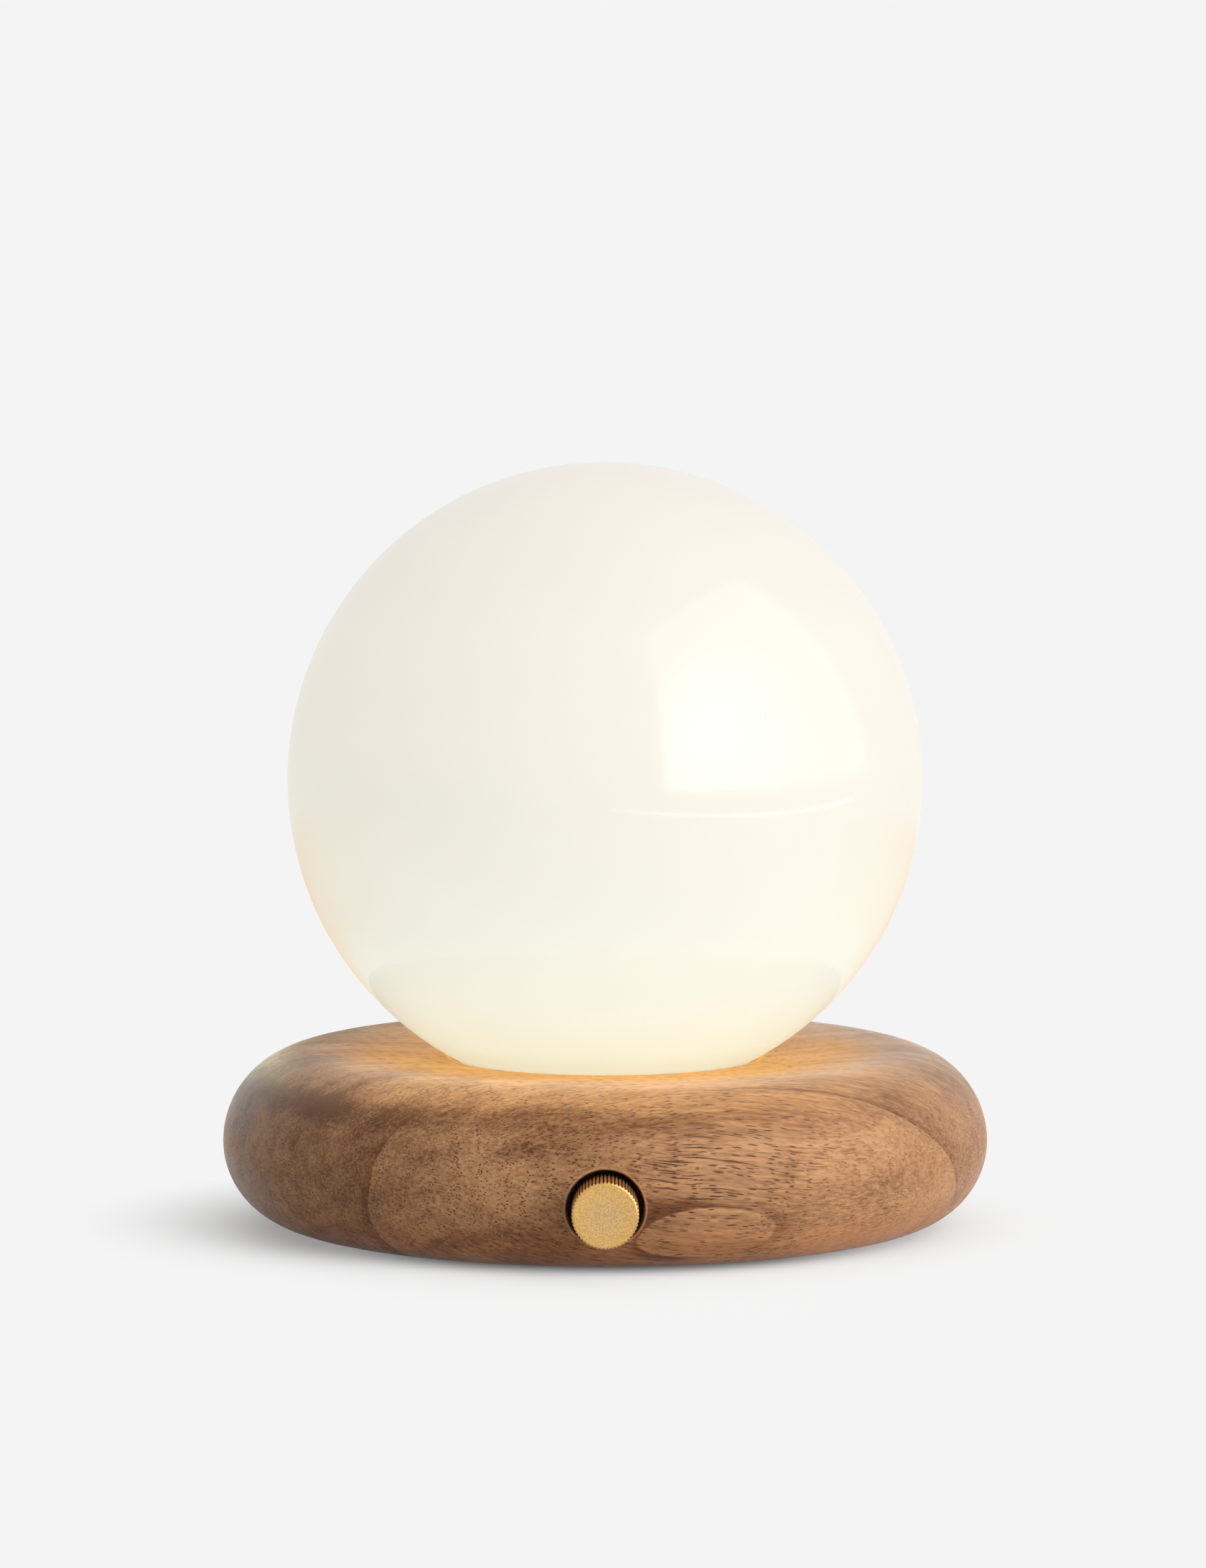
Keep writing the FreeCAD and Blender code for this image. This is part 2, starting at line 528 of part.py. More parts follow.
def wood_base():
    """Turned walnut: bullnosed rim, dished top, recess for the globe, cavity underneath."""
    plate_edge = f"({plate_radius} + dims.plate_gap)"
    blank = turned(
        [
            (wire_hole_radius, recess_floor),
            (seat_radius, recess_floor),
            (seat_radius, seat_height),
            (crest_radius, wood_top),
            (base_radius, rim_height),
            (f"{base_radius} - {rim_lower_radius}", wood_bottom),
            (plate_edge, wood_bottom),
            (plate_edge, plate_top),
            (cavity_radius, plate_top),
            (cavity_radius, ceiling),
            (wire_hole_radius, ceiling),
        ],
        {
            2: ((crest_radius, f"{wood_top} - {dish_radius}"), dish_radius),
            3: ((crest_radius, rim_height), "dims.rim_upper_radius"),
            4: ((f"{base_radius} - {rim_lower_radius}", rim_height), rim_lower_radius),
        },
    )
    pocket_half = "(dims.dimmer_diameter / 2 + dims.dimmer_room)"
    board_half = "(dims.board_width / 2 + dims.back_pocket_margin)"
    tools = [
        dimmer_rod(knob_hole_radius, "dims.knob_recess * 2", recess_depth_line),
        dimmer_rod("dims.bush_diameter / 2 + dims.bush_clearance", "dims.dimmer_wall * 2",
                   f"{dimmer_face} - dims.dimmer_wall / 2"),
        block((f"-{pocket_half}", pocket_half), (f"-{dimmer_face}", f"-{cavity_radius} / 2"),
              (f"dims.knob_height - {pocket_half}", f"dims.knob_height + {pocket_half}")),
        block((f"-{board_half}", board_half), (f"{cavity_radius} / 2", pocket_end),
              ("dims.port_height - dims.back_pocket_drop", ceiling)),
        slot_bar(bezel_hole_width, bezel_hole_height, flange_face, f"{base_radius} + dims.bezel_inset"),
        rod("dims.pipe_diameter / 2 + dims.pipe_gap", "dims.back_wall * 2",
            charge_led_line, flange_face, "dims.port_height", BACK),
    ]
    for x, y in plate_screw_places:
        tools.append(rod("dims.plate_screw_shank / 2 + dims.pilot_clearance", "dims.plate_screw_bite",
                         x, y, plate_top))
    for x, y in ring_screw_places + led_screw_places:
        tools.append(rod(pilot_radius, "dims.small_bite", x, y, recess_floor, DOWN))
    for x, y in cradle_screw_places + board_screw_places:
        tools.append(rod(pilot_radius, "dims.small_bite", x, y, ceiling))

    def on_knob_hole(point):
        off_axis = math.hypot(point.x, point.z - value("dims.knob_height"))
        return point.y < -value(recess_depth_line) - 1 and abs(off_axis - value(knob_hole_radius)) < 0.01

    def on_inlet_hole(point):
        past_flat = max(abs(point.x) - value(f"({bezel_hole_width} - {bezel_hole_height}) / 2"), 0)
        off_axis = math.hypot(past_flat, point.z - value("dims.port_height"))
        return point.y > value(pocket_end) + 1 and abs(off_axis - value(f"{bezel_hole_height} / 2")) < 0.01

    piece("wood_base", eased(cut(blank, tools), "dims.hole_round", on_knob_hole, on_inlet_hole))


def underside():
    """Steel cover let into the wood, its four countersunk screws, and the non-slip pad on it."""
    plate = rod(plate_radius, "dims.plate_thickness", z=wood_bottom)
    holes = []
    screws = []
    through = "dims.plate_screw_shank / 2 + dims.hole_clearance"
    mouth = "dims.plate_screw_head / 2 + dims.hole_clearance"
    for x, y in plate_screw_places:
        holes.append(rod(through, "dims.plate_thickness", x, y, wood_bottom))
        holes.append(cone(mouth, through, "dims.plate_screw_sink", x, y, wood_bottom))
        screws.append(sunk_screw("dims.plate_screw_head", "dims.plate_screw_sink", "dims.plate_screw_shank",
                                 "dims.plate_thickness + dims.plate_screw_bite", x, y, wood_bottom, DOWN))
    piece("base_plate", cut(plate, holes))
    piece("base_plate_screws", group(screws))
    pad_edge = f"{cavity_radius} - dims.pad_margin"
    piece("foot_pad", rod(pad_edge, "dims.pad_thickness"))


def battery():
    """Two cells side by side under the ceiling of the cavity, in a moulded saddle, on a foam strip."""
    cap = "dims.cell_diameter / 6"
    groove = f"{cell_radius} - dims.cell_crimp"
    for label, along in (("battery_cell_front", front_cell), ("battery_cell_rear", rear_cell)):
        cell = turned(
            [
                ("0", "0"),
                (cell_radius, "0"),
                (cell_radius, f"dims.cell_length - {cap} - dims.cell_crimp"),
                (groove, f"dims.cell_length - {cap}"),
                (cell_radius, f"dims.cell_length - {cap} + dims.cell_crimp"),
                (cell_radius, "dims.cell_length"),
                ("0", "dims.cell_length"),
            ],
            x=f"-{battery_end}", y=along, z=cell_height, facing=RIGHT,
        )
        piece(label, cell)
    strip_y = (f"{front_cell} - dims.strip_overlap", f"{rear_cell} + dims.strip_overlap")
    strip_z = (f"{cell_height} - dims.strip_width / 2", f"{cell_height} + dims.strip_width / 2")
    strip_end = f"{battery_end} + dims.strip_thickness"
    left = block((f"-({strip_end})", f"-{battery_end}"), strip_y, strip_z)
    right = block((battery_end, strip_end), strip_y, strip_z)
    piece("cell_strips", group([left, right]))

    side = f"{cell_radius} - dims.foam_margin"
    foam = block(("-dims.foam_length / 2", "dims.foam_length / 2"),
                 (f"{front_cell} - ({side})", f"{rear_cell} + {side}"),
                 (plate_top, f"{plate_top} + dims.foam_thickness"))
    piece("battery_foam", foam)

    reach = f"({battery_end} + dims.cradle_margin)"
    ear_reach = f"({reach} + dims.ear_reach)"
    edge = f"{cell_radius} + dims.cradle_margin"
    saddle = block((f"-{battery_end}", battery_end),
                   (f"{front_cell} - ({edge})", f"{rear_cell} + {cell_radius}"),
                   (f"{ceiling} - dims.cradle_thickness - dims.cradle_grip", ceiling))
    ears = block((f"-{ear_reach}", ear_reach),
                 (f"{battery_middle} - dims.ear_width / 2", f"{battery_middle} + dims.ear_width / 2"),
                 (f"{ceiling} - dims.cradle_thickness", ceiling))
    saddle_radius = f"{cell_radius} + dims.cradle_gap"
    tools = [
        rod(saddle_radius, "dims.cell_length * 2", "-dims.cell_length", along, cell_height, RIGHT)
        for along in (front_cell, rear_cell)
    ]
    screws = []
    for x, y in cradle_screw_places:
        seat = f"{ceiling} - dims.cradle_thickness"
        tools.append(rod(pass_radius, "dims.cradle_thickness", x, y, seat))
        screws.append(pan_screw("dims.cradle_thickness + dims.small_bite", x, y, seat, DOWN))
    piece("battery_cradle", cut(union([saddle, ears]), tools))
    piece("cradle_screws", group(screws))


def control_board():
    """Charger and dimmer board, hung from the ceiling on spacers, with what is soldered to it."""
    half = "dims.board_width / 2"
    board = block((f"-{half}", half), (board_front, board_back), (board_bottom, board_top))
    holes = []
    spacers = []
    screws = []
    for x, y in board_screw_places:
        hang = f"{ceiling} - {board_top}"
        holes.append(rod(pass_radius, "dims.board_thickness", x, y, board_bottom))
        tube = rod("dims.spacer_diameter / 2", hang, x, y, board_top)
        spacers.append(cut(tube, [rod(pass_radius, hang, x, y, board_top)]))
        screws.append(pan_screw(f"dims.board_thickness + {hang} + dims.small_bite", x, y, board_bottom, DOWN))
    piece("control_board", cut(board, holes))
    piece("board_spacers", group(spacers))
    piece("board_screws", group(screws))

    def soldered(x, row, size, height):
        """A square part on the board, placed from the lamp's axis and from the board's back edge."""
        y = f"({board_back} - {row})"
        sides = [(f"{middle} - {size} / 2", f"{middle} + {size} / 2") for middle in (x, y)]
        return block(*sides, (board_top, f"{board_top} + {height}"))

    controller = soldered("-dims.chip_spread", "dims.chip_row", "dims.chip_size", "dims.chip_height")
    charger = soldered("dims.chip_spread", "dims.chip_row", "dims.chip_size", "dims.chip_height")
    coil = soldered("dims.chip_spread", "dims.coil_row", "dims.coil_size", "dims.coil_height")
    buffer_can = rod("dims.can_diameter / 2", "dims.can_height",
                     "-dims.chip_spread", f"{board_back} - dims.coil_row", board_top)
    led_size = "dims.charge_led_size"
    charge_led = soldered(charge_led_line, led_size, led_size, "dims.led_height")
    piece("board_chips", group([controller, charger, coil, buffer_can, charge_led]))

    def socket_for_leads(x, y):
        return block(x, y, (board_top, f"{board_top} + dims.connector_height"))

    half_width = "dims.connector_width / 2"
    row = (board_front, f"{board_front} + dims.connector_length")
    connectors = [
        socket_for_leads((f"{x} - {half_width}", f"{x} + {half_width}"), row)
        for x in ("-dims.connector_pitch", "0", "dims.connector_pitch")
    ]
    dimmer_row = (f"{dimmer_connector} - {half_width}", f"{dimmer_connector} + {half_width}")
    connectors.append(socket_for_leads((f"-{half}", f"-{half} + dims.connector_width"), dimmer_row))
    piece("board_connectors", group(connectors))


def charging_inlet():
    """Inlet shell on the board, the bezel that lines its hole in the rim, and the charge light."""
    socket_back = f"{socket_mouth} - dims.socket_length"
    shell = slot_bar("dims.socket_width", "dims.socket_height", socket_back, socket_mouth)
    hollow = slot_bar("dims.socket_width - 2 * dims.socket_wall", "dims.socket_height - 2 * dims.socket_wall",
                      f"{socket_back} + dims.socket_wall", f"{socket_mouth} + dims.socket_wall")
    tongue = block(("-dims.tongue_width / 2", "dims.tongue_width / 2"),
                   (socket_back, f"{socket_mouth} - dims.tongue_setback"),
                   ("dims.port_height - dims.tongue_height / 2", "dims.port_height + dims.tongue_height / 2"))
    piece("usb_socket", union([cut(shell, [hollow]), tongue]))

    mouth = f"{base_radius} - dims.bezel_inset"
    tube = slot_bar("dims.bezel_width", "dims.bezel_height", flange_face, mouth)
    flange = slot_bar("dims.bezel_width + 2 * dims.bezel_rim", "dims.bezel_height + 2 * dims.bezel_rim",
                      flange_face, pocket_end)
    plug_room = slot_bar("dims.bezel_width - 2 * dims.bezel_wall", "dims.bezel_height - 2 * dims.bezel_wall",
                         socket_mouth, f"{mouth} + dims.bezel_wall")
    socket_room = slot_bar("dims.socket_width + 2 * dims.bezel_gap",
                           "dims.socket_height + 2 * dims.bezel_gap",
                           f"{flange_face} - dims.bezel_wall", mouth)
    piece("usb_bezel", cut(union([tube, flange]), [plug_room, socket_room]))

    pipe_start = f"({pocket_end} - dims.pipe_head_thickness)"
    pipe_radius = "(dims.pipe_diameter / 2)"
    dome_start = f"({base_radius} - dims.pipe_inset - {pipe_radius} / 2)"
    dome_top = f"({dome_start} + {pipe_radius} / 2)"
    dome_radius = f"({pipe_radius} * 1.25)"
    light_pipe = turned(
        [
            ("0", pipe_start),
            ("dims.pipe_head / 2", pipe_start),
            ("dims.pipe_head / 2", pocket_end),
            (pipe_radius, pocket_end),
            (pipe_radius, dome_start),
            ("0", dome_top),
        ],
        {4: (("0", f"{dome_top} - {dome_radius}"), dome_radius)},
        x=charge_led_line, z="dims.port_height", facing=BACK,
    )
    piece("charge_light_pipe", light_pipe)


def dimmer():
    """Rotary dimmer clamped in the rim by its bush, washer and nut."""
    can = dimmer_rod("dims.dimmer_diameter / 2", "dims.dimmer_length", dimmer_back)
    bush = dimmer_rod("dims.bush_diameter / 2", "dims.bush_length", dimmer_face)
    bore_start = f"{dimmer_face} - dims.shaft_depth - dims.shaft_clearance"
    bore = dimmer_rod("dims.shaft_diameter / 2 + dims.shaft_clearance",
                      f"{bush_end} - ({bore_start})", bore_start)
    piece("dimmer_body", cut(union([can, bush]), [bore]))

    bush_room = "dims.bush_diameter / 2 + dims.shaft_clearance"
    washer = dimmer_rod("dims.washer_diameter / 2", "dims.washer_thickness", recess_depth_line)
    nut_seat = f"-({recess_depth_line} + dims.washer_thickness)"
    nut = hexagon("dims.nut_across", "dims.nut_thickness", "0", nut_seat, "dims.knob_height", FRONT)
    for label, blank in (("dimmer_washer", washer), ("dimmer_nut", nut)):
        piece(label, cut(blank, [dimmer_rod(bush_room, "dims.bush_length", dimmer_face)]))

    pins = []
    for step in (-1, 0, 1):
        level = f"dims.knob_height + {step} * dims.pin_pitch"
        pins.append(block(("-dims.pin_width / 2", "dims.pin_width / 2"),
                          (f"-{dimmer_back}", f"-{dimmer_back} + dims.pin_length"),
                          (f"{level} - dims.pin_width / 4", f"{level} + dims.pin_width / 4")))
    piece("dimmer_pins", group(pins))


def knob():
    """Brass knob with a straight knurl, the dimmer shaft that it sits on, and its grub screw."""
    bore = "(dims.shaft_diameter / 2 + dims.shaft_fit)"
    edge = "(dims.knob_diameter / 2)"
    blank = turned(
        [
            (bore, knob_back),
            (f"{edge} - dims.knob_chamfer", knob_back),
            (edge, f"{knob_back} + dims.knob_chamfer"),
            (edge, f"{knob_face} - dims.knob_chamfer"),
            (f"{edge} - dims.knob_chamfer", knob_face),
            ("0", knob_face),
            ("0", bore_end),
            (bore, bore_end),
        ],
        z="dims.knob_height", facing=FRONT,
    )
    groove = blank.newObject("Sketcher::SketchObject", "groove")
    groove.AttachmentSupport = [(plane_of(blank, "XY_Plane"), "")]
    groove.MapMode = "FlatFace"
    outline(groove, [
        (f"{edge} - dims.knurl_depth", "0"),
        (f"{edge} + dims.knurl_depth / 5", "dims.knurl_half_width"),
        (f"{edge} + dims.knurl_depth / 5", "-dims.knurl_half_width"),
    ])
    tooth = blank.newObject("PartDesign::Pocket", "tooth")
    tooth.Profile = groove
    tooth.Reversed = True
    tooth.Type = "Length"
    tooth.setExpression("Length", f"{knob_face} + dims.knob_reach")
    knurl = blank.newObject("PartDesign::PolarPattern", "knurl")
    knurl.Originals = [tooth]
    knurl.Axis = (groove, ["N_Axis"])
    knurl.Angle = 360
    knurl.setExpression("Occurrences", "dims.knurl_count")
    blank.Tip = knurl

    grub_y = f"-({knob_back} + dims.grub_setback)"
    flat_height = "dims.knob_height - dims.shaft_diameter / 2 + dims.shaft_flat"
    thread = rod("dims.grub_diameter / 2 + dims.grub_clearance", "dims.knob_diameter",
                 "0", grub_y, "dims.knob_height", DOWN)
    piece("dimmer_knob", cut(blank, [thread]))

    grub_length = f"({edge} - dims.grub_sink - dims.shaft_diameter / 2 + dims.shaft_flat)"
    grub = rod("dims.grub_diameter / 2", grub_length, "0", grub_y, flat_height, DOWN)
    drive = hexagon("dims.grub_drive", "dims.drive_depth", "0", grub_y,
                    f"{flat_height} - {grub_length} + dims.drive_depth", DOWN)
    piece("knob_grub_screw", cut(grub, [drive]))

    shaft_end = f"({bore_end} - dims.knob_back_gap)"
    shaft_start = f"({dimmer_face} - dims.shaft_depth)"
    shaft = dimmer_rod("dims.shaft_diameter / 2", f"{shaft_end} - {shaft_start}", shaft_start)
    half = "dims.shaft_diameter / 2"
    flat = block((f"-{half}", half), (f"-{shaft_end}", f"-{knob_back}"),
                 (f"dims.knob_height - {half}", flat_height))
    piece("dimmer_shaft", cut(shaft, [flat]))


def bayonet_ring():
    """Lock ring screwed into the recess, with three lug pockets and their entry notches."""
    blank = ring(ring_bore, ring_radius, recess_floor, ring_top)
    tools = []
    for index in range(LUG_COUNT):
        lug_middle = f"90 + {360 / LUG_COUNT} * {index}"
        tools.append(sector(pocket_radius, pocket_height,
                            f"{lug_middle} - dims.lug_angle / 2 - dims.lug_end_play",
                            pocket_sweep, pocket_floor))
        tools.append(sector(pocket_radius, f"{pocket_height} + dims.ring_lip",
                            f"{lug_middle} + dims.twist_angle - dims.lug_angle / 2 - dims.notch_play",
                            "dims.lug_angle + 2 * dims.notch_play", pocket_floor))
    screws = []
    for x, y in ring_screw_places:
        height = f"{ring_top} - {recess_floor}"
        tools.append(rod(pass_radius, height, x, y, recess_floor))
        tools.append(cone(pass_radius, "dims.ring_screw_head / 2 + dims.hole_clearance",
                          "dims.ring_screw_sink", x, y, f"{ring_top} - dims.ring_screw_sink"))
        screws.append(sunk_screw("dims.ring_screw_head", "dims.ring_screw_sink", "dims.small_shank",
                                 f"{height} + dims.small_bite", x, y, ring_top, UP))
    piece("lock_ring", cut(blank, tools))
    piece("lock_ring_screws", group(screws))
    gasket_bore = f"({ring_bore} + (dims.ring_wall - dims.gasket_width) / 2)"
    piece("globe_gasket", ring(gasket_bore, f"{gasket_bore} + dims.gasket_width", ring_top, gasket_top))


def light_source():
    """Heat spreader and LED board inside the bayonet, with the LEDs and three screws."""
    plate = rod(led_plate_radius, "dims.led_plate_thickness", z=recess_floor)
    board = rod(led_board_radius, "dims.led_board_thickness", z=led_plate_top)
    plate_holes = [rod(wire_hole_radius, "dims.led_plate_thickness", z=recess_floor)]
    board_holes = [rod(wire_hole_radius, "dims.led_board_thickness", z=led_plate_top)]
    screws = []
    for x, y in led_screw_places:
        plate_holes.append(rod(pass_radius, "dims.led_plate_thickness", x, y, recess_floor))
        board_holes.append(rod(pass_radius, "dims.led_board_thickness", x, y, led_plate_top))
        length = "dims.led_plate_thickness + dims.led_board_thickness + dims.small_bite"
        screws.append(pan_screw(length, x, y, led_board_top, UP))
    piece("led_plate", cut(plate, plate_holes))
    piece("led_board", cut(board, board_holes))
    piece("led_screws", group(screws))
    half = "dims.led_width / 2"
    chips = [
        block((f"{x} - {half}", f"{x} + {half}"), (f"{y} - {half}", f"{y} + {half}"),
              (led_board_top, f"{led_board_top} + dims.led_height"))
        for x, y in around(LED_COUNT, 22.5, "dims.led_circle / 2")
    ]
    piece("led_chips", group(chips))


def globe():
    """Opal glass sphere with a ground mouth, bonded to a collar whose lugs lock under the ring's lip."""
    glass = turned(
        [
            ("0", f"{globe_centre} + {globe_radius}"),
            (glass_foot_radius, glass_bottom),
            (mouth_radius, glass_bottom),
            ("0", f"{globe_centre} + {globe_inner_radius}"),
        ],
        {
            0: (("0", globe_centre), globe_radius),
            2: (("0", globe_centre), globe_inner_radius),
        },
    )
    piece("glass_globe", glass)
    flange_radius = f"({glass_foot_radius} - dims.flange_inset)"
    piece("globe_bond", ring(mouth_radius, flange_radius, flange_top, glass_bottom))
    lug_bottom = f"({pocket_floor} + dims.lug_play)"
    collar = turned([
        (collar_bore, lug_bottom),
        (skirt_radius, lug_bottom),
        (skirt_radius, gasket_top),
        (flange_radius, gasket_top),
        (flange_radius, flange_top),
        (collar_bore, flange_top),
    ])
    lugs = [
        sector(lug_radius, "dims.lug_thickness", f"90 + {360 / LUG_COUNT} * {index} - dims.lug_angle / 2",
               "dims.lug_angle", lug_bottom)
        for index in range(LUG_COUNT)
    ]
    bore = rod(collar_bore, f"{flange_top} - {lug_bottom}", z=lug_bottom)
    piece("globe_collar", cut(union([collar, *lugs]), [bore]))


def leads():
    """Wires inside the base: light to board, battery to board, dimmer to board."""
    landing = value("dims.lead_landing")
    spread = value("dims.lead_spread")
    setback = value("dims.lead_setback")
    above_board = value(f"{led_board_top} + dims.lead_diameter / 2")
    level = value(lead_level)
    front = value(board_front)
    pitch = value("dims.connector_pitch")
    strip = value(f"{battery_end} + dims.strip_thickness")
    out = strip + value("dims.lead_standoff")
    along = value(rear_cell)
    cell_level = value(cell_height)
    for colour, side in (("red", 1), ("black", -1)):
        light_lead = lead([
            Vector(side * landing, setback, above_board),
            Vector(side * spread, setback, above_board),
            Vector(side * spread, setback, level),
            Vector(side * spread, front, level),
        ])
        piece(f"led_lead_{colour}", light_lead)
        battery_lead = lead([
            Vector(side * strip, along, cell_level),
            Vector(side * out, along, cell_level),
            Vector(side * out, along + 20, (cell_level + level) / 2),
            Vector(side * (pitch + 16), front - 13, level),
            Vector(side * pitch, front - 10, level),
            Vector(side * pitch, front, level),
        ])
        piece(f"battery_lead_{colour}", battery_lead)

    # The dimmer's three wires run one above the other along the left wall of the cavity.
    wall = value(f"{cavity_radius} - dims.lead_wall_gap")
    pins_end = value(f"{dimmer_back} - dims.pin_length")
    connector_x = value("-dims.board_width / 2")
    connector_y = value(dimmer_connector)
    wires = []
    for step in (-1, 0, 1):
        low = value(f"dims.knob_height + {step} * dims.pin_pitch")
        high = level + step * value("dims.lead_pitch")
        route = [Vector(0, -pins_end, low), Vector(0, -wall + 3, low)]
        for angle in (243, 216, 188, 160, 136):
            turn = math.radians(angle)
            route.append(Vector(wall * math.cos(turn), wall * math.sin(turn), (low + high) / 2))
        route += [Vector(connector_x - 9, connector_y, high), Vector(connector_x, connector_y, high)]
        wires.append(lead(route))
    piece("dimmer_leads", group(wires))


wood_base()
underside()
battery()
control_board()
charging_inlet()
dimmer()
knob()
bayonet_ring()
light_source()
globe()
leads()
doc.recompute()

for thing in doc.Objects:
    if "Invalid" in thing.State or "Error" in thing.State:
        raise RuntimeError(f"{thing.Label} did not build: {thing.State}")
for thing in pieces:
    if thing.Shape.isNull() or not thing.Shape.isValid() or not thing.Shape.Solids:
        raise RuntimeError(f"{thing.Label} has no valid solid")

os.makedirs("parts", exist_ok=True)
for thing in pieces:
    thing.Shape.exportStep(f"parts/{thing.Label}.step")
    print(f"{thing.Label}: {len(thing.Shape.Solids)} solid(s), {thing.Shape.Volume:.1f} mm3")
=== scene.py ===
import math

import bmesh
import bpy
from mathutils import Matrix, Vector


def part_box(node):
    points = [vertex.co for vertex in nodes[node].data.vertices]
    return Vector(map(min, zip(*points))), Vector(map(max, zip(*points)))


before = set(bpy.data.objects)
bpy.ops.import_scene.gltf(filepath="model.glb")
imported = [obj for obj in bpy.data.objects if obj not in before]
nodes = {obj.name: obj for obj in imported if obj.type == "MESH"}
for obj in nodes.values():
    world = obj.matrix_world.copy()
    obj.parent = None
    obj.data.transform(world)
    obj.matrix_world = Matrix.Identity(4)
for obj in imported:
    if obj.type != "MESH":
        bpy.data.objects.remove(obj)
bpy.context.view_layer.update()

# Walnut base: turned in one piece from a blank whose grain runs from side to side, sanded and oiled
# to a satin finish. The growth rings lie aslant, so the rounded front cuts them in a wide oval, and
# the two sides show end grain.


def new_finish(name, **constants):
    """A material whose Principled shader has these constants, spelled like its sockets."""
    material = bpy.data.materials.new(name)
    material.use_nodes = True
    shader = material.node_tree.nodes["Principled BSDF"]
    for socket, value in constants.items():
        shader.inputs[socket.replace("_", " ")].default_value = value
    return material, material.node_tree, shader


def put(tree, kind, settings=None, **inputs):
    """A shader node, each of whose inputs is a number, a colour or another node's output."""
    made = tree.nodes.new("ShaderNode" + kind)
    for name, choice in (settings or {}).items():
        setattr(made, name, choice)
    sockets = {socket.identifier.replace(" ", "_"): socket for socket in made.inputs}
    for name, value in inputs.items():
        if isinstance(value, bpy.types.NodeSocket):
            tree.links.new(value, sockets[name])
        else:
            sockets[name].default_value = value
    return made


def own_place(tree):
    """The point on the piece, in metres from the lamp's origin."""
    return put(tree, "TexCoord").outputs["Object"]


def along(tree, place):
    """A place's x, y and z."""
    return put(tree, "SeparateXYZ", Vector=place).outputs


def turn(tree, place, degrees):
    """A place turned about X, then Y, then Z."""
    angles = [math.radians(angle) for angle in degrees]
    return put(tree, "Mapping", Vector=place, Rotation=angles).outputs[0]


def stretch(tree, place, scale, shift=(0, 0, 0)):
    """A place scaled so that a pattern's features are 1 / scale metres long, evenly or on each axis."""
    if isinstance(scale, (int, float)):
        scale = (scale, scale, scale)
    return put(tree, "Mapping", Vector=place, Scale=scale, Location=shift).outputs[0]


def distance(tree, place, centre=(0, 0, 0), keep=(1, 1, 1)):
    """How far a place is from a centre, along the axes that are kept."""
    return put(tree, "VectorMath", {"operation": "DISTANCE"}, Vector=stretch(tree, place, keep),
               Vector_001=centre).outputs["Value"]


def noise(tree, place, detail=2.0, roughness=0.5):
    return put(tree, "TexNoise", Vector=place, Scale=1.0, Detail=detail, Roughness=roughness).outputs[0]


def calc(tree, operation, first, second=0.0):
    return put(tree, "Math", {"operation": operation}, Value=first, Value_001=second).outputs[0]


def plus(tree, first, *others):
    """The sum of patterns and numbers."""
    for other in others:
        first = calc(tree, "ADD", first, other)
    return first


def times(tree, first, *others):
    """The product of patterns and numbers."""
    for other in others:
        first = calc(tree, "MULTIPLY", first, other)
    return first


def add(tree, *shares):
    """The sum of patterns, each given with its weight."""
    return plus(tree, *[times(tree, pattern, weight) for pattern, weight in shares])


def fade(tree, value, start, end, low=0.0, high=1.0):
    """Eases from low to high while the value goes from start to end."""
    ease = {"interpolation_type": "SMOOTHSTEP"}
    return put(tree, "MapRange", ease, Value=value, From_Min=start, From_Max=end,
               To_Min=low, To_Max=high).outputs[0]


def band(tree, value, lower, upper):
    """One within a band of values. Each edge is a pair: where it begins to show, and where it is full."""
    return times(tree, fade(tree, value, *lower), fade(tree, value, *upper))


def pits(tree, place, width):
    """Scattered pits, one in each unit cell, some deep and some faint."""
    spots = put(tree, "TexVoronoi", Vector=place, Scale=1.0).outputs
    depth = fade(tree, put(tree, "SeparateColor", Color=spots["Color"]).outputs[0], 0.05, 0.65)
    return times(tree, fade(tree, spots["Distance"], width, width * 0.5), depth)


def mix(tree, share, first, second, blend="MIX"):
    """Blends two colours by a share of the second."""
    kind = {"data_type": "RGBA", "blend_type": blend}
    return put(tree, "Mix", kind, Factor_Float=share, A_Color=first, B_Color=second).outputs[2]


def paint(tree, shader, **links):
    """Connects outputs to the shader's inputs, spelled like its sockets."""
    for socket, output in links.items():
        tree.links.new(output, shader.inputs[socket.replace("_", " ")])


def emboss(tree, shader, height, depth):
    """Bumps the surface by a height pattern, depth metres for one unit."""
    bump = put(tree, "Bump", Height=height, Distance=depth, Strength=1.0)
    paint(tree, shader, Normal=bump.outputs[0])


def dress(material, *names):
    """Gives CAD nodes their finish."""
    for name in names:
        nodes[name].material_slots[0].material = material


walnut_light = (0.380, 0.200, 0.096, 1)
walnut_dark = (0.108, 0.042, 0.018, 1)
pore_and_bore_shade_brown = (0.052, 0.019, 0.009, 1)
painted_glow_colour = (0.98, 0.93, 0.53, 1)
painted_foot_shade = (1.0, 0.84, 0.70, 1)
painted_seat_glow = (0.34, 0.18, 0.045, 1)
black = (0, 0, 0, 1)
grain_turn = (0, -7, -18)
flame_turn = (0, 24, 0)
pith = (0, 0.25, 0.23)
ring_start = 0.0171
ring_pitch = 0.0278
fine_ring_pitch = 0.0062
knob_low, knob_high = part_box("dimmer_knob")
knob_centre = (0, 0, (knob_low.z + knob_high.z) / 2)

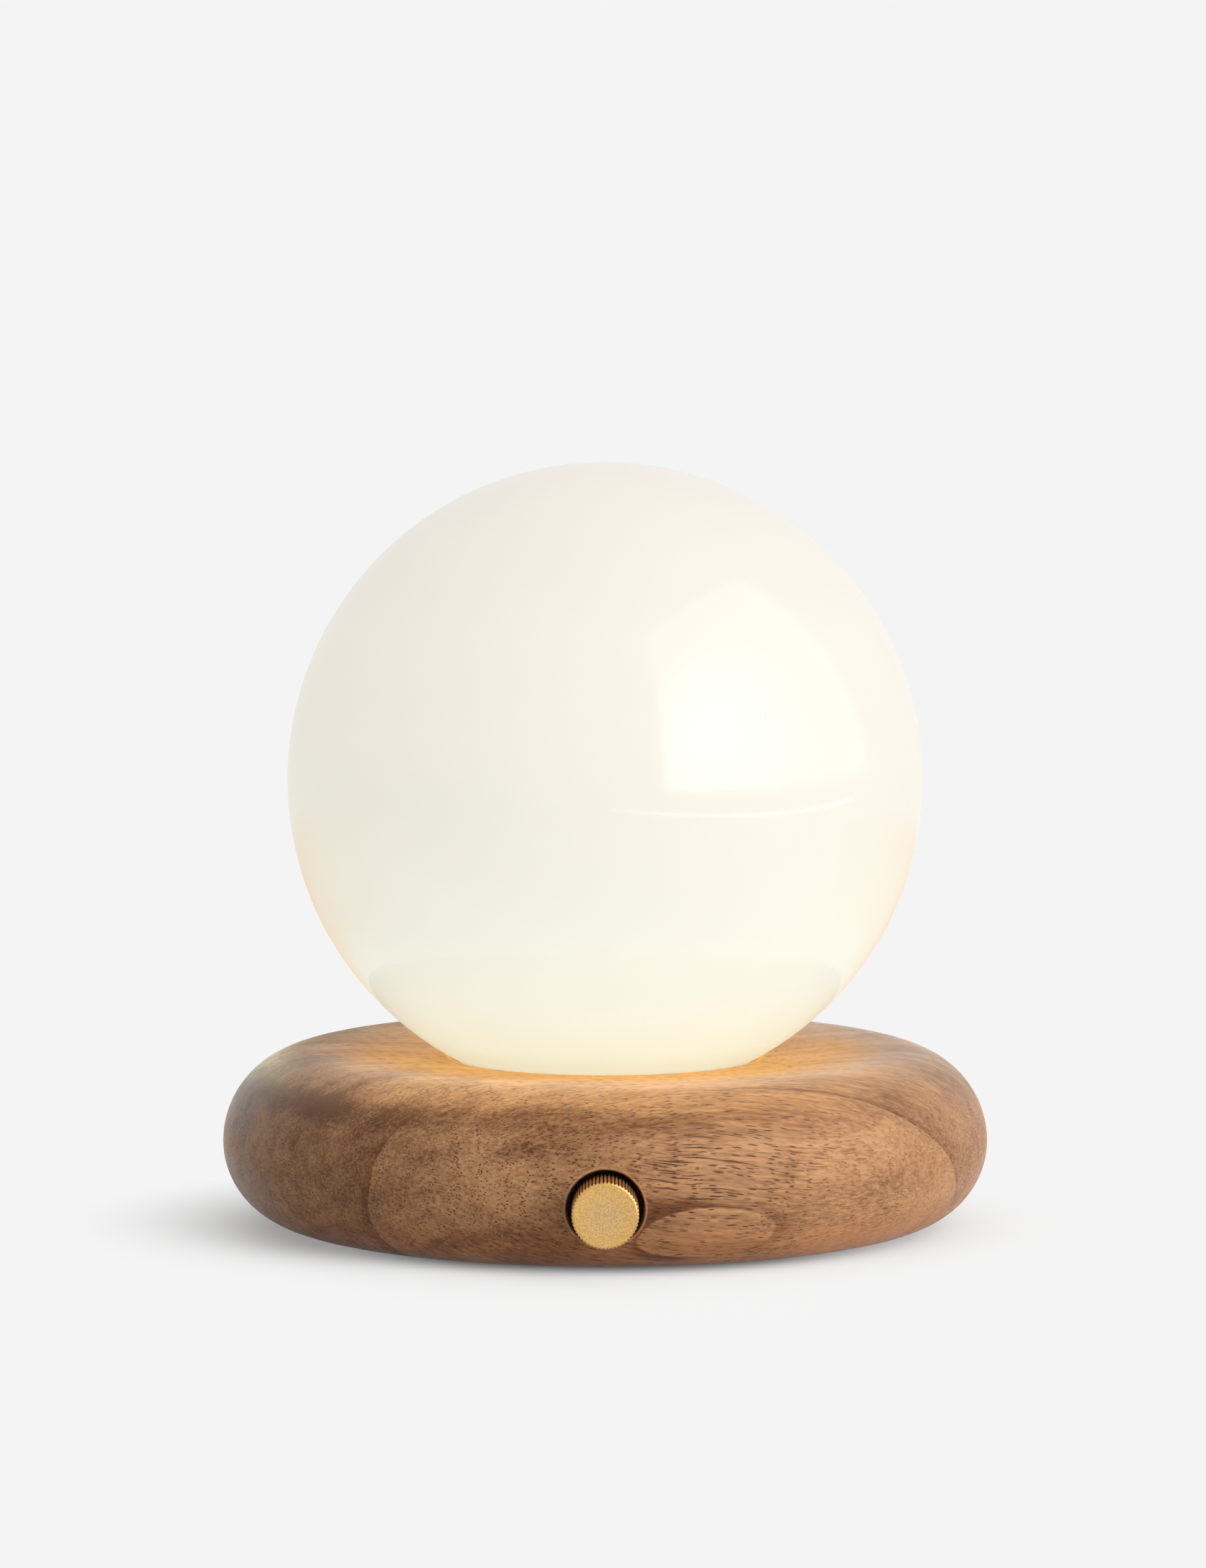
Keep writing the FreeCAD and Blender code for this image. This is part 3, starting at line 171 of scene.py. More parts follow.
walnut, tree, shader = new_finish("oiled_walnut", IOR=1.45, Specular_IOR_Level=0.09,
                                  Sheen_Roughness=0.35, Emission_Strength=1.0)
place = own_place(tree)
spot = along(tree, place)
side = spot["X"]
depth = spot["Y"]
height = spot["Z"]
from_axis = distance(tree, place, keep=(1, 1, 0))
board = turn(tree, place, grain_turn)
sway = calc(tree, "SUBTRACT", noise(tree, stretch(tree, board, (9, 26, 26)), 2.0), 0.5)
wavy = add(tree, (height, 1.0), (sway, 0.006))

# Growth rings round a pith far behind and above. Wide ones draw the front's oval, fine ones the rest.
from_pith = distance(tree, board, pith, (0, 1, 1))
upright = times(tree, calc(tree, "SUBTRACT", height, 0.018), fade(tree, side, 0.015, -0.045))
ring = plus(tree, add(tree, (from_pith, 1.0), (sway, 0.007), (upright, 0.42)), ring_start)
phase = calc(tree, "FRACT", calc(tree, "DIVIDE", ring, ring_pitch))
on_front = times(tree, fade(tree, depth, -0.005, -0.040), fade(tree, side, -0.078, -0.062))
on_rim = calc(tree, "MAXIMUM", fade(tree, height, 0.040, 0.031), fade(tree, side, 0.020, 0.050))
open_foot = calc(tree, "MAXIMUM", fade(tree, height, 0.0060, 0.0095), fade(tree, side, 0.024, 0.014))
oval_zone = times(tree, on_front, on_rim, open_foot)
ring_edge = times(tree, fade(tree, phase, 1.0, 0.994), oval_zone)
late_wood = times(tree, fade(tree, phase, 0.15, 0.98), ring_edge)
beside_knob = band(tree, side, (0.004, 0.010), (0.034, 0.014))
ring_line = times(tree, fade(tree, phase, 0.93, 0.99), ring_edge,
                  fade(tree, beside_knob, 0.0, 1.0, 1.0, 2.4))
fine_phase = calc(tree, "FRACT", calc(tree, "DIVIDE", ring, fine_ring_pitch))
fine_rings = times(tree, band(tree, fine_phase, (0.2, 0.9), (1.0, 0.92)),
                   fade(tree, oval_zone, 0.0, 1.0, 1.0, 0.12))

# Figure along the grain, from broad stripes to single fibres, with slanting flames on the left.
broad = fade(tree, noise(tree, stretch(tree, board, (9, 40, 40), (3, 1, 5)), 3.0, 0.6), 0.3, 0.7)
streak = noise(tree, stretch(tree, board, (11, 240, 240), (7, 0, 2)), 3.0, 0.6)
fibre = noise(tree, stretch(tree, board, (40, 1300, 1300)), 3.0, 0.65)
flecks = noise(tree, stretch(tree, board, (350, 1500, 1500), (5, 3, 8)), 2.0, 0.6)
lean = turn(tree, place, flame_turn)
flame = noise(tree, stretch(tree, lean, (16, 50, 150), (2, 6, 2.4)), 3.0)
curl = times(tree, fade(tree, flame, 0.36, 0.64, 0.05, -0.28), fade(tree, side, 0.0, -0.03),
             fade(tree, side, -0.050, -0.072, 1.0, 0.45))

# Tones of the blank: darker beside the knob. The rest is painted light and shade: darker on the left,
# paler to the right and darker at the right end; darker at the crest, along a shade line and on the
# right shoulder; paler at the right foot, the belly and the left end; darker at the back top on the
# right, paler on its left; and amber in the dish round the globe, for the lamp's glow.
# Painted shade and light: the wood is painted darker on the left, away from the window, paler to the right
# where its light falls, and darker again at the right end.
painted_side_shade = plus(tree, fade(tree, side, -0.060, 0.035, 0.16, -0.32),
               fade(tree, side, 0.050, 0.070, 0.0, 0.25))
# Painted shade: the crest is painted darker, unevenly from side to side, tempering the light that falls on
# it.
crest_height = add(tree, (height, 1.0), (sway, 0.008))
crest_shade_tone = plus(tree, fade(tree, side, 0.0, 0.035, 0.055, 0.30),
                  fade(tree, side, -0.050, -0.066, 0.0, 0.26),
                  fade(tree, side, 0.042, 0.060, 0.0, -0.20))
painted_crest_shade = times(tree, fade(tree, crest_height, 0.032, 0.042), fade(tree, from_axis, 0.050, 0.070),
              crest_shade_tone)
# Painted light: the right foot is painted paler, as if lit from the low right.
painted_foot_light = times(tree, fade(tree, height, 0.022, 0.006), fade(tree, side, 0.032, 0.055))
shade_line = times(tree, band(tree, wavy, (0.0305, 0.0350), (0.0390, 0.0362)),
                   fade(tree, side, 0.040, 0.010), fade(tree, depth, 0.020, -0.035))
heart = times(tree, band(tree, height, (0.003, 0.008), (0.017, 0.011)),
              band(tree, side, (0.003, 0.012), (0.042, 0.032)))
near_knob = times(tree, band(tree, side, (0.004, 0.008), (0.024, 0.013)),
                  band(tree, wavy, (0.0085, 0.0120), (0.0220, 0.0170)))
smudge = times(tree, band(tree, side, (-0.032, -0.020), (0.004, -0.008)),
               band(tree, wavy, (0.0250, 0.0285), (0.0335, 0.0300)))
# Painted light: the low left end is painted paler, as a rim light.
painted_rim_light = times(tree, fade(tree, side, -0.055, -0.075), fade(tree, height, 0.030, 0.022))
right_front = fade(tree, depth, -0.010, -0.035)
# Painted shade: a darker band on the right front shoulder, where the lamp's glow ends.
painted_shoulder_shade = times(tree, band(tree, wavy, (0.0310, 0.0340), (0.0395, 0.0370)),
                 band(tree, side, (0.026, 0.036), (0.072, 0.062)), right_front)
# Painted light: a paler band on the right front belly, as if lit by the window.
painted_belly_light = times(tree, band(tree, wavy, (0.0190, 0.0230), (0.0320, 0.0295)),
              band(tree, side, (0.038, 0.050), (0.072, 0.062)), right_front)
# Painted shade and light: the back of the top is painted darker on the right and paler on the left, evening
# out the window's light.
back_top_shade_tone = plus(tree, fade(tree, side, 0.034, 0.050, 0.0, 0.22),
                 fade(tree, side, -0.030, -0.050, 0.0, -0.22))
painted_back_top_shade = times(tree, fade(tree, depth, -0.030, -0.005), fade(tree, wavy, 0.024, 0.043), back_top_shade_tone)
# Painted light: the lamp's warm glow round the globe's foot is painted into the wood, amber and with the
# figure washed out. The sheen fades there too.
painted_glow_zone = times(tree, fade(tree, from_axis, 0.076, 0.050), fade(tree, depth, 0.0, 0.045, 1.0, 0.4))
painted_glow_tint = times(tree, painted_glow_zone, fade(tree, depth, -0.035, 0.015, 1.0, 0.55))
darkness = add(tree, (late_wood, 0.20), (ring_line, 0.22), (fine_rings, 0.08), (broad, 0.30),
               (fade(tree, streak, 0.3, 0.75), 0.20), (fade(tree, fibre, 0.32, 0.68), 0.34),
               (fade(tree, flecks, 0.35, 0.65), 0.20), (curl, 1.0), (painted_side_shade, 1.0), (painted_crest_shade, 1.0),
               (shade_line, 0.40), (heart, 0.17), (near_knob, 0.34), (smudge, 0.24), (painted_shoulder_shade, 0.16),
               (painted_back_top_shade, 1.0), (painted_foot_light, -0.34), (painted_rim_light, -0.22), (painted_belly_light, -0.14))
darkness = times(tree, darkness, fade(tree, painted_glow_zone, 0.0, 1.0, 1.0, 0.55))
wood_colour = mix(tree, darkness, walnut_light, walnut_dark)
wood_colour = mix(tree, painted_glow_tint, wood_colour, painted_glow_colour, "MULTIPLY")
# Painted shade: the foot is tinted warmer, against the floor's grey bounce.
wood_colour = mix(tree, fade(tree, height, 0.016, 0.003), wood_colour, painted_foot_shade, "MULTIPLY")

# Pores: long dashes in patches, fewer on the left, and short ones everywhere.
patch = noise(tree, stretch(tree, board, (14, 55, 55), (1, 8, 3)), 2.0)
pore_zone = times(tree, fade(tree, patch, 0.40, 0.62), fade(tree, height, 0.036, 0.028, 0.2, 1.0),
                  fade(tree, side, -0.02, 0.03, 0.45, 1.0))
wander = times(tree, calc(tree, "SUBTRACT", noise(tree, stretch(tree, board, 60)), 0.5), 0.0028)
drift = put(tree, "CombineXYZ", Y=wander, Z=wander).outputs[0]
bent = put(tree, "VectorMath", {"operation": "ADD"}, Vector=board, Vector_001=drift).outputs[0]
long_pores = times(tree, pits(tree, stretch(tree, bent, (24, 560, 2500)), 0.42), pore_zone)
short_pores = times(tree, pits(tree, stretch(tree, bent, (220, 2100, 2100), (4, 2, 9)), 0.40), 0.8)
pores = times(tree, calc(tree, "MAXIMUM", long_pores, short_pores),
              fade(tree, side, 0.036, 0.056, 1.0, 0.5))
pore_share = calc(tree, "MINIMUM", times(tree, pores, 1.15), 0.9)
wood_colour = mix(tree, pore_share, wood_colour, pore_and_bore_shade_brown)

# The knob's bore is painted dark as shade, and its edge is painted paler as a highlight. A painted glow
# stands for the globe's light at its seat: the wood there emits a little, seen but not sampled as a lamp.
from_knob = distance(tree, place, knob_centre, (1, 0, 1))
at_front = fade(tree, depth, -0.050, -0.060)
painted_bore_highlight = times(tree, fade(tree, from_knob, 0.0097, 0.0094), at_front, 0.55)
painted_bore_shade = times(tree, fade(tree, from_knob, 0.0092, 0.0089), at_front)
wood_colour = mix(tree, painted_bore_shade, mix(tree, painted_bore_highlight, wood_colour, walnut_light), pore_and_bore_shade_brown)
painted_seat_light = mix(tree, fade(tree, from_axis, 0.0385, 0.0365), black, painted_seat_glow)
wax = plus(tree, fade(tree, height, 0.006, 0.034, 0.03, 0.25),
           fade(tree, side, -0.068, -0.086, 0.0, 0.35))
paint(tree, shader, Base_Color=wood_colour, Roughness=fade(tree, streak, 0.2, 0.8, 0.36, 0.50),
      Sheen_Weight=times(tree, fade(tree, painted_glow_zone, 1.0, 0.0), wax), Emission_Color=painted_seat_light)
emboss(tree, shader, add(tree, (fibre, 0.35), (pores, -1.0)), depth=0.00012)
walnut.cycles.emission_sampling = "NONE"
dress(walnut, "wood_base")

# Base plate: a steel disc, black powder-coated, that closes the cavity from below and is held by
# countersunk zinc-plated screws. A thin disc of non-slip rubber is glued under it as the foot.
powder, tree, shader = new_finish("black_powder_coat", IOR=1.5, Specular_IOR_Level=0.4)
place = own_place(tree)
peel = noise(tree, stretch(tree, place, 850), 3.0, 0.55)
cure = noise(tree, stretch(tree, place, 60), 3.0)
paint(tree, shader, Base_Color=mix(tree, cure, (0.017, 0.017, 0.018, 1), (0.027, 0.027, 0.028, 1)),
      Roughness=fade(tree, peel, 0.2, 0.8, 0.40, 0.58))
emboss(tree, shader, peel, depth=0.00006)
dress(powder, "base_plate")

rubber_black = (0.020, 0.020, 0.020, 1)
rubber_bloom = (0.040, 0.039, 0.038, 1)
stud_pitch = 0.0024
rubber, tree, shader = new_finish("foot_rubber", IOR=1.5, Specular_IOR_Level=0.25)
place = own_place(tree)
spot = along(tree, turn(tree, place, (0, 0, 45)))
ribs = [calc(tree, "SINE", times(tree, spot[axis], 2 * math.pi / stud_pitch)) for axis in "XY"]
bloom = noise(tree, stretch(tree, place, 45), 4.0, 0.6)
paint(tree, shader, Base_Color=mix(tree, fade(tree, bloom, 0.35, 0.75), rubber_black, rubber_bloom),
      Roughness=fade(tree, bloom, 0.2, 0.8, 0.72, 0.88))
emboss(tree, shader, times(tree, *ribs), depth=0.00012)
dress(rubber, "foot_pad")


def plated(name, first, second, smooth, rough):
    """Plated steel: a colour that shifts a little with the passivation, and fine handling marks."""
    material, tree, shader = new_finish(name, Metallic=1.0)
    place = own_place(tree)
    patch = noise(tree, stretch(tree, place, 260), 3.0)
    marks = noise(tree, stretch(tree, turn(tree, place, (0, 20, 35)), (300, 3600, 3600)), 3.0, 0.6)
    paint(tree, shader, Base_Color=mix(tree, fade(tree, patch, 0.3, 0.7), first, second),
          Roughness=fade(tree, marks, 0.3, 0.7, smooth, rough))
    emboss(tree, shader, marks, depth=0.000012)
    return material


zinc = plated("zinc_plated_steel", (0.60, 0.61, 0.63, 1), (0.64, 0.62, 0.54, 1), smooth=0.26, rough=0.42)
dress(zinc, "base_plate_screws", "cradle_screws", "board_screws", "lock_ring_screws", "led_screws")

# Battery: two standard cells in heat-shrunk sleeves lie side by side in a moulded cradle, joined by
# spot-welded nickel strips. A foam pad on the base plate presses them up into it, and two leads go
# to the board.


def moulded(name, first, second, grain, depth):
    """Moulded plastic: faint flow marks and the fine texture of an eroded mould."""
    material, tree, shader = new_finish(name, IOR=1.49, Specular_IOR_Level=0.4)
    place = own_place(tree)
    flow = noise(tree, stretch(tree, place, (70, 40, 120)), 3.0, 0.55)
    erosion = noise(tree, stretch(tree, place, grain), 2.0, 0.6)
    paint(tree, shader, Base_Color=mix(tree, fade(tree, flow, 0.3, 0.7), first, second),
          Roughness=fade(tree, erosion, 0.2, 0.8, 0.42, 0.62))
    emboss(tree, shader, erosion, depth)
    return material


black_plastic = moulded("black_moulded_plastic", (0.015, 0.015, 0.017, 1), (0.024, 0.024, 0.026, 1),
                        grain=2400, depth=0.00003)
dress(black_plastic, "battery_cradle")

sleeve_lap = 0.0022
sleeve_edge = 0.0002
sleeve_blue = (0.035, 0.12, 0.30, 1)
sleeve_pale_blue = (0.05, 0.15, 0.36, 1)
can_steel = (0.60, 0.58, 0.54, 1)
cell_low, cell_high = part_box("battery_cell_front")
other_low, other_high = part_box("battery_cell_rear")
cell_axis = [(cell_low.y + cell_high.y) / 2, (other_low.y + other_high.y) / 2]
cell_height = (cell_low.z + cell_high.z) / 2
cell_end = cell_high.x
bare_radius = (cell_high.z - cell_low.z) / 2 - sleeve_lap
middle = sum(cell_axis) / 2
apart = abs(cell_axis[0] - cell_axis[1]) / 2
sleeve, tree, shader = new_finish("cell_sleeve", IOR=1.52, Specular_IOR_Level=0.5)
place = own_place(tree)
spot = along(tree, place)
beside = calc(tree, "SUBTRACT", calc(tree, "ABSOLUTE", calc(tree, "SUBTRACT", spot["Y"], middle)), apart)
above = calc(tree, "SUBTRACT", spot["Z"], cell_height)
radius = distance(tree, put(tree, "CombineXYZ", Y=beside, Z=above).outputs[0])
at_end = fade(tree, calc(tree, "ABSOLUTE", spot["X"]), cell_end - 0.0010, cell_end - 0.0006)
bare = times(tree, at_end, fade(tree, radius, bare_radius, bare_radius - sleeve_edge))
shrink = noise(tree, stretch(tree, place, (240, 60, 60)), 3.0, 0.6)
blue = mix(tree, fade(tree, shrink, 0.3, 0.7), sleeve_blue, sleeve_pale_blue)
paint(tree, shader, Base_Color=mix(tree, bare, blue, can_steel), Metallic=bare,
      Roughness=fade(tree, shrink, 0.2, 0.8, 0.26, 0.40))
emboss(tree, shader, shrink, depth=0.00008)
dress(sleeve, "battery_cell_front", "battery_cell_rear")

nickel = plated("nickel_strip", (0.62, 0.59, 0.53, 1), (0.58, 0.56, 0.51, 1), smooth=0.22, rough=0.36)
dress(nickel, "cell_strips")

foam_dark = (0.020, 0.020, 0.022, 1)
foam_grey = (0.050, 0.050, 0.052, 1)
foam, tree, shader = new_finish("closed_cell_foam", IOR=1.4, Specular_IOR_Level=0.1, Sheen_Weight=0.25)
bubble_place = stretch(tree, own_place(tree), 1700)
bubbles = put(tree, "TexVoronoi", Vector=bubble_place, Scale=1.0).outputs["Distance"]
paint(tree, shader, Base_Color=mix(tree, fade(tree, bubbles, 0.2, 0.8), foam_dark, foam_grey),
      Roughness=fade(tree, bubbles, 0.0, 1.0, 0.86, 0.97))
emboss(tree, shader, bubbles, depth=0.00025)
dress(foam, "battery_foam")


def insulated(name, first, second):
    """Extruded wire insulation: a soft shine with faint drawn lines."""
    material, tree, shader = new_finish(name, IOR=1.52, Specular_IOR_Level=0.45)
    drawn = noise(tree, stretch(tree, own_place(tree), 500), 3.0, 0.6)
    paint(tree, shader, Base_Color=mix(tree, fade(tree, drawn, 0.3, 0.7), first, second),
          Roughness=fade(tree, drawn, 0.2, 0.8, 0.30, 0.46))
    emboss(tree, shader, drawn, depth=0.00002)
    return material


red_wire = insulated("red_wire", (0.40, 0.012, 0.010, 1), (0.48, 0.020, 0.016, 1))
black_wire = insulated("black_wire", (0.012, 0.012, 0.013, 1), (0.022, 0.022, 0.023, 1))
dress(red_wire, "battery_lead_red")
dress(black_wire, "battery_lead_black")

# Control board: glass-fibre laminate under green solder resist, with copper tracks and tinned vias.
# It stands on plastic spacers, held by four screws, and carries the charger, driver and connectors.
via_tin = (0.62, 0.62, 0.60, 1)
laminate, tree, shader = new_finish("green_board", IOR=1.5, Specular_IOR_Level=0.5)
place = own_place(tree)
facing = calc(tree, "ABSOLUTE", along(tree, put(tree, "TexCoord").outputs["Normal"])["Z"])
flat_face = fade(tree, facing, 0.4, 0.8)
web = put(tree, "TexVoronoi", {"feature": "DISTANCE_TO_EDGE", "voronoi_dimensions": "2D"},
          Vector=stretch(tree, place, 290), Scale=1.0, Randomness=0.35).outputs["Distance"]
tracks = fade(tree, web, 0.10, 0.06)
via_place = stretch(tree, place, 260, (0.4, 0.2, 0))
dots = put(tree, "TexVoronoi", {"voronoi_dimensions": "2D"}, Vector=via_place, Scale=1.0)
vias = fade(tree, dots.outputs["Distance"], 0.13, 0.10)
resist = mix(tree, tracks, (0.010, 0.075, 0.030, 1), (0.022, 0.135, 0.050, 1))
weave = noise(tree, stretch(tree, place, (900, 900, 5000)), 2.0)
edge = mix(tree, weave, (0.30, 0.25, 0.12, 1), (0.42, 0.36, 0.20, 1))
tin = times(tree, vias, flat_face)
paint(tree, shader, Base_Color=mix(tree, tin, mix(tree, flat_face, edge, resist), via_tin), Metallic=tin,
      Roughness=fade(tree, weave, 0.2, 0.8, 0.26, 0.40))
emboss(tree, shader, add(tree, (tracks, 1.0), (weave, 0.3)), depth=0.00003)
dress(laminate, "control_board")

epoxy, tree, shader = new_finish("chip_epoxy", IOR=1.5, Specular_IOR_Level=0.35)
filler = noise(tree, stretch(tree, own_place(tree), 5200), 2.0, 0.6)
paint(tree, shader, Base_Color=mix(tree, filler, (0.012, 0.012, 0.013, 1), (0.030, 0.030, 0.031, 1)),
      Roughness=fade(tree, filler, 0.2, 0.8, 0.48, 0.66))
emboss(tree, shader, filler, depth=0.00002)
dress(epoxy, "board_chips")

white_plastic = moulded("white_moulded_plastic", (0.74, 0.73, 0.69, 1), (0.80, 0.79, 0.76, 1),
                        grain=2100, depth=0.00002)
dress(white_plastic, "board_connectors")
dress(black_plastic, "board_spacers")

# Charging inlet: a stamped steel USB-C shell behind a moulded bezel in the back of the rim, with a
# polished clear acrylic rod beside it that carries the light of a charge indicator on the board.
stamped = plated("stamped_shell", (0.60, 0.60, 0.60, 1), (0.66, 0.65, 0.63, 1), smooth=0.20, rough=0.34)
dress(stamped, "usb_socket")
dress(black_plastic, "usb_bezel")

acrylic, tree, shader = new_finish("clear_acrylic", IOR=1.49, Transmission_Weight=0.92)
polish = noise(tree, stretch(tree, own_place(tree), 900), 3.0, 0.6)
paint(tree, shader, Base_Color=mix(tree, polish, (0.90, 0.93, 0.93, 1), (0.95, 0.97, 0.97, 1)),
      Roughness=fade(tree, polish, 0.3, 0.7, 0.06, 0.16))
emboss(tree, shader, polish, depth=0.00001)
dress(acrylic, "charge_light_pipe")

# Dimmer: a small potentiometer with a die-cast body, clamped in the rim by its bush, washer and nut.
# Three tinned pins take grey leads to the board, and its aluminium shaft carries the knob.
die_cast, tree, shader = new_finish("die_cast_zinc", Metallic=1.0)
skin = noise(tree, stretch(tree, own_place(tree), 1500), 4.0, 0.65)
paint(tree, shader, Base_Color=mix(tree, skin, (0.40, 0.40, 0.41, 1), (0.52, 0.52, 0.52, 1)),
      Roughness=fade(tree, skin, 0.2, 0.8, 0.36, 0.54))
emboss(tree, shader, skin, depth=0.00003)
dress(die_cast, "dimmer_body")
dress(zinc, "dimmer_washer", "dimmer_nut")
dress(nickel, "dimmer_pins")
grey_wire = insulated("grey_wire", (0.13, 0.13, 0.135, 1), (0.18, 0.18, 0.185, 1))
dress(grey_wire, "dimmer_leads")


def turned(name, first, second, pitch, axis=None):
    """Lathe-turned aluminium: fine tool marks round the Z axis, or along the named axis."""
    material, tree, shader = new_finish(name, Metallic=1.0)
    place = own_place(tree)
    spot = along(tree, place)
    travel = spot[axis] if axis else plus(tree, distance(tree, place, keep=(1, 1, 0)), spot["Z"])
    marks = calc(tree, "SINE", times(tree, travel, 2 * math.pi / pitch))
    chatter = noise(tree, stretch(tree, place, 400), 3.0, 0.6)
    paint(tree, shader, Base_Color=mix(tree, fade(tree, chatter, 0.3, 0.7), first, second),
          Roughness=fade(tree, chatter, 0.2, 0.8, 0.24, 0.40))
    emboss(tree, shader, add(tree, (marks, 0.5), (chatter, 0.4)), depth=0.000006)
    return material


shaft_metal = turned("turned_shaft", (0.72, 0.72, 0.74, 1), (0.66, 0.66, 0.68, 1), pitch=0.00022, axis="Y")
dress(shaft_metal, "dimmer_shaft")

# Dimmer knob: turned from brass bar, straight-knurled, its face blasted to a fine satin grain, and
# held on the dimmer's shaft by a blackened grub screw.
face_middle = (0.54, 0.357, 0.163, 1)
face_edge = (0.585, 0.364, 0.132, 1)
grain_dark = (0.84, 0.83, 0.82, 1)
grain_bright = (1.16, 1.16, 1.16, 1)
knurl_brass_with_painted_reflection = (0.58, 0.315, 0.125, 1)
painted_groove_shade = (0.050, 0.020, 0.009, 1)
knob_radius = (knob_high.z - knob_low.z) / 2
brass, tree, shader = new_finish("satin_brass", Metallic=1.0, Specular_Tint=(1.0, 0.55, 0.40, 1))
place = own_place(tree)
blast = noise(tree, stretch(tree, place, 2500), 2.0, 0.6)
handling = noise(tree, stretch(tree, place, 130), 3.0)
radius = distance(tree, place, knob_centre, (1, 0, 1))
face = mix(tree, fade(tree, radius, 0.001, 0.0068), face_middle, face_edge)
grain = mix(tree, fade(tree, blast, 0.3, 0.7), grain_dark, grain_bright)
flank = fade(tree, along(tree, place)["Y"], knob_low.y + 0.0004, knob_low.y + 0.0010)
grooves = fade(tree, radius, knob_radius - 0.00005, knob_radius - 0.00022)
# Painted shade in the knurl's grooves. The teeth's brass is painted redder, partly as a painted reflection
# of the wood.
knurl = mix(tree, grooves, knurl_brass_with_painted_reflection, painted_groove_shade)
paint(tree, shader, Base_Color=mix(tree, flank, mix(tree, 1.0, face, grain, "MULTIPLY"), knurl),
      Roughness=fade(tree, handling, 0.3, 0.7, 0.40, 0.50))
emboss(tree, shader, blast, depth=0.00005)
dress(brass, "dimmer_knob")
blackened = plated("blackened_steel", (0.045, 0.043, 0.042, 1), (0.075, 0.070, 0.065, 1),
                   smooth=0.34, rough=0.50)
dress(blackened, "knob_grub_screw")

# Light source: eight warm LEDs on a white metal-core board, screwed to a turned aluminium plate in
# the recess under the globe. A red and a black lead come up to it through the wire hole.
plate_metal = turned("turned_plate", (0.74, 0.74, 0.75, 1), (0.68, 0.68, 0.70, 1), pitch=0.00035)
dress(plate_metal, "led_plate", "globe_collar")

led_circle = 0.013
led_count = 8
first_led = 22.5


def led_spot(tree):
    """How far a point lies out from the circle of LEDs, and round it from the nearest LED's middle."""
    place = own_place(tree)
    spot = along(tree, place)
    out = calc(tree, "SUBTRACT", distance(tree, place, keep=(1, 1, 0)), led_circle)
    angle = times(tree, calc(tree, "ARCTAN2", spot["Y"], spot["X"]), led_count / (2 * math.pi))
    share = calc(tree, "FRACT", plus(tree, angle, led_count + 0.5 - first_led * led_count / 360))
    around = times(tree, calc(tree, "SUBTRACT", share, 0.5), 2 * math.pi * led_circle / led_count)
    return out, around


track_shine = (0.70, 0.66, 0.58, 1)
white_resist, tree, shader = new_finish("white_board", IOR=1.5, Specular_IOR_Level=0.5)
out, around = led_spot(tree)
track = fade(tree, calc(tree, "ABSOLUTE", out), 0.00075, 0.00060)
gap = fade(tree, calc(tree, "ABSOLUTE", around), 0.00020, 0.00030)
copper = times(tree, track, gap)
speckle = noise(tree, stretch(tree, own_place(tree), 700), 3.0)
base = mix(tree, speckle, (0.80, 0.80, 0.775, 1), (0.86, 0.86, 0.84, 1))
paint(tree, shader, Base_Color=mix(tree, times(tree, copper, 0.5), base, track_shine),
      Roughness=fade(tree, speckle, 0.2, 0.8, 0.30, 0.44))
emboss(tree, shader, add(tree, (copper, 1.0), (speckle, 0.2)), depth=0.00003)
dress(white_resist, "led_board")

led_case = (0.80, 0.80, 0.78, 1)
led_light = (1.0, 0.78, 0.42, 1)
phosphor, tree, shader = new_finish("led_phosphor", IOR=1.45, Specular_IOR_Level=0.5, Emission_Strength=1.0)
out, around = led_spot(tree)
window = times(tree, fade(tree, calc(tree, "ABSOLUTE", out), 0.00105, 0.00095),
               fade(tree, calc(tree, "ABSOLUTE", around), 0.00105, 0.00095))
grit = noise(tree, stretch(tree, own_place(tree), 6000), 2.0)
yellow = mix(tree, grit, (0.78, 0.52, 0.08, 1), (0.86, 0.62, 0.14, 1))
paint(tree, shader, Base_Color=mix(tree, window, led_case, yellow),
      Emission_Color=mix(tree, window, black, led_light),
      Roughness=fade(tree, grit, 0.2, 0.8, 0.28, 0.42))
emboss(tree, shader, grit, depth=0.00001)
dress(phosphor, "led_chips")
dress(red_wire, "led_lead_red")
dress(black_wire, "led_lead_black")

# Globe seat: a white moulded ring with bayonet slots, screwed into the recess, and a soft gasket on
# which the globe's collar turns. The collar is bonded to the glass with silicone.
dress(white_plastic, "lock_ring")

milky = (0.72, 0.72, 0.69, 1)
milky_pale = (0.80, 0.80, 0.77, 1)
silicone, tree, shader = new_finish(
    "milky_silicone", IOR=1.41, Specular_IOR_Level=0.4, Subsurface_Weight=0.6,
    Subsurface_Radius=(0.004, 0.004, 0.0035), Subsurface_Scale=0.5)
haze = noise(tree, stretch(tree, own_place(tree), 320), 3.0, 0.55)
paint(tree, shader, Base_Color=mix(tree, fade(tree, haze, 0.3, 0.7), milky, milky_pale),
      Roughness=fade(tree, haze, 0.2, 0.8, 0.40, 0.56))
emboss(tree, shader, haze, depth=0.00003)
dress(silicone, "globe_gasket", "globe_bond")

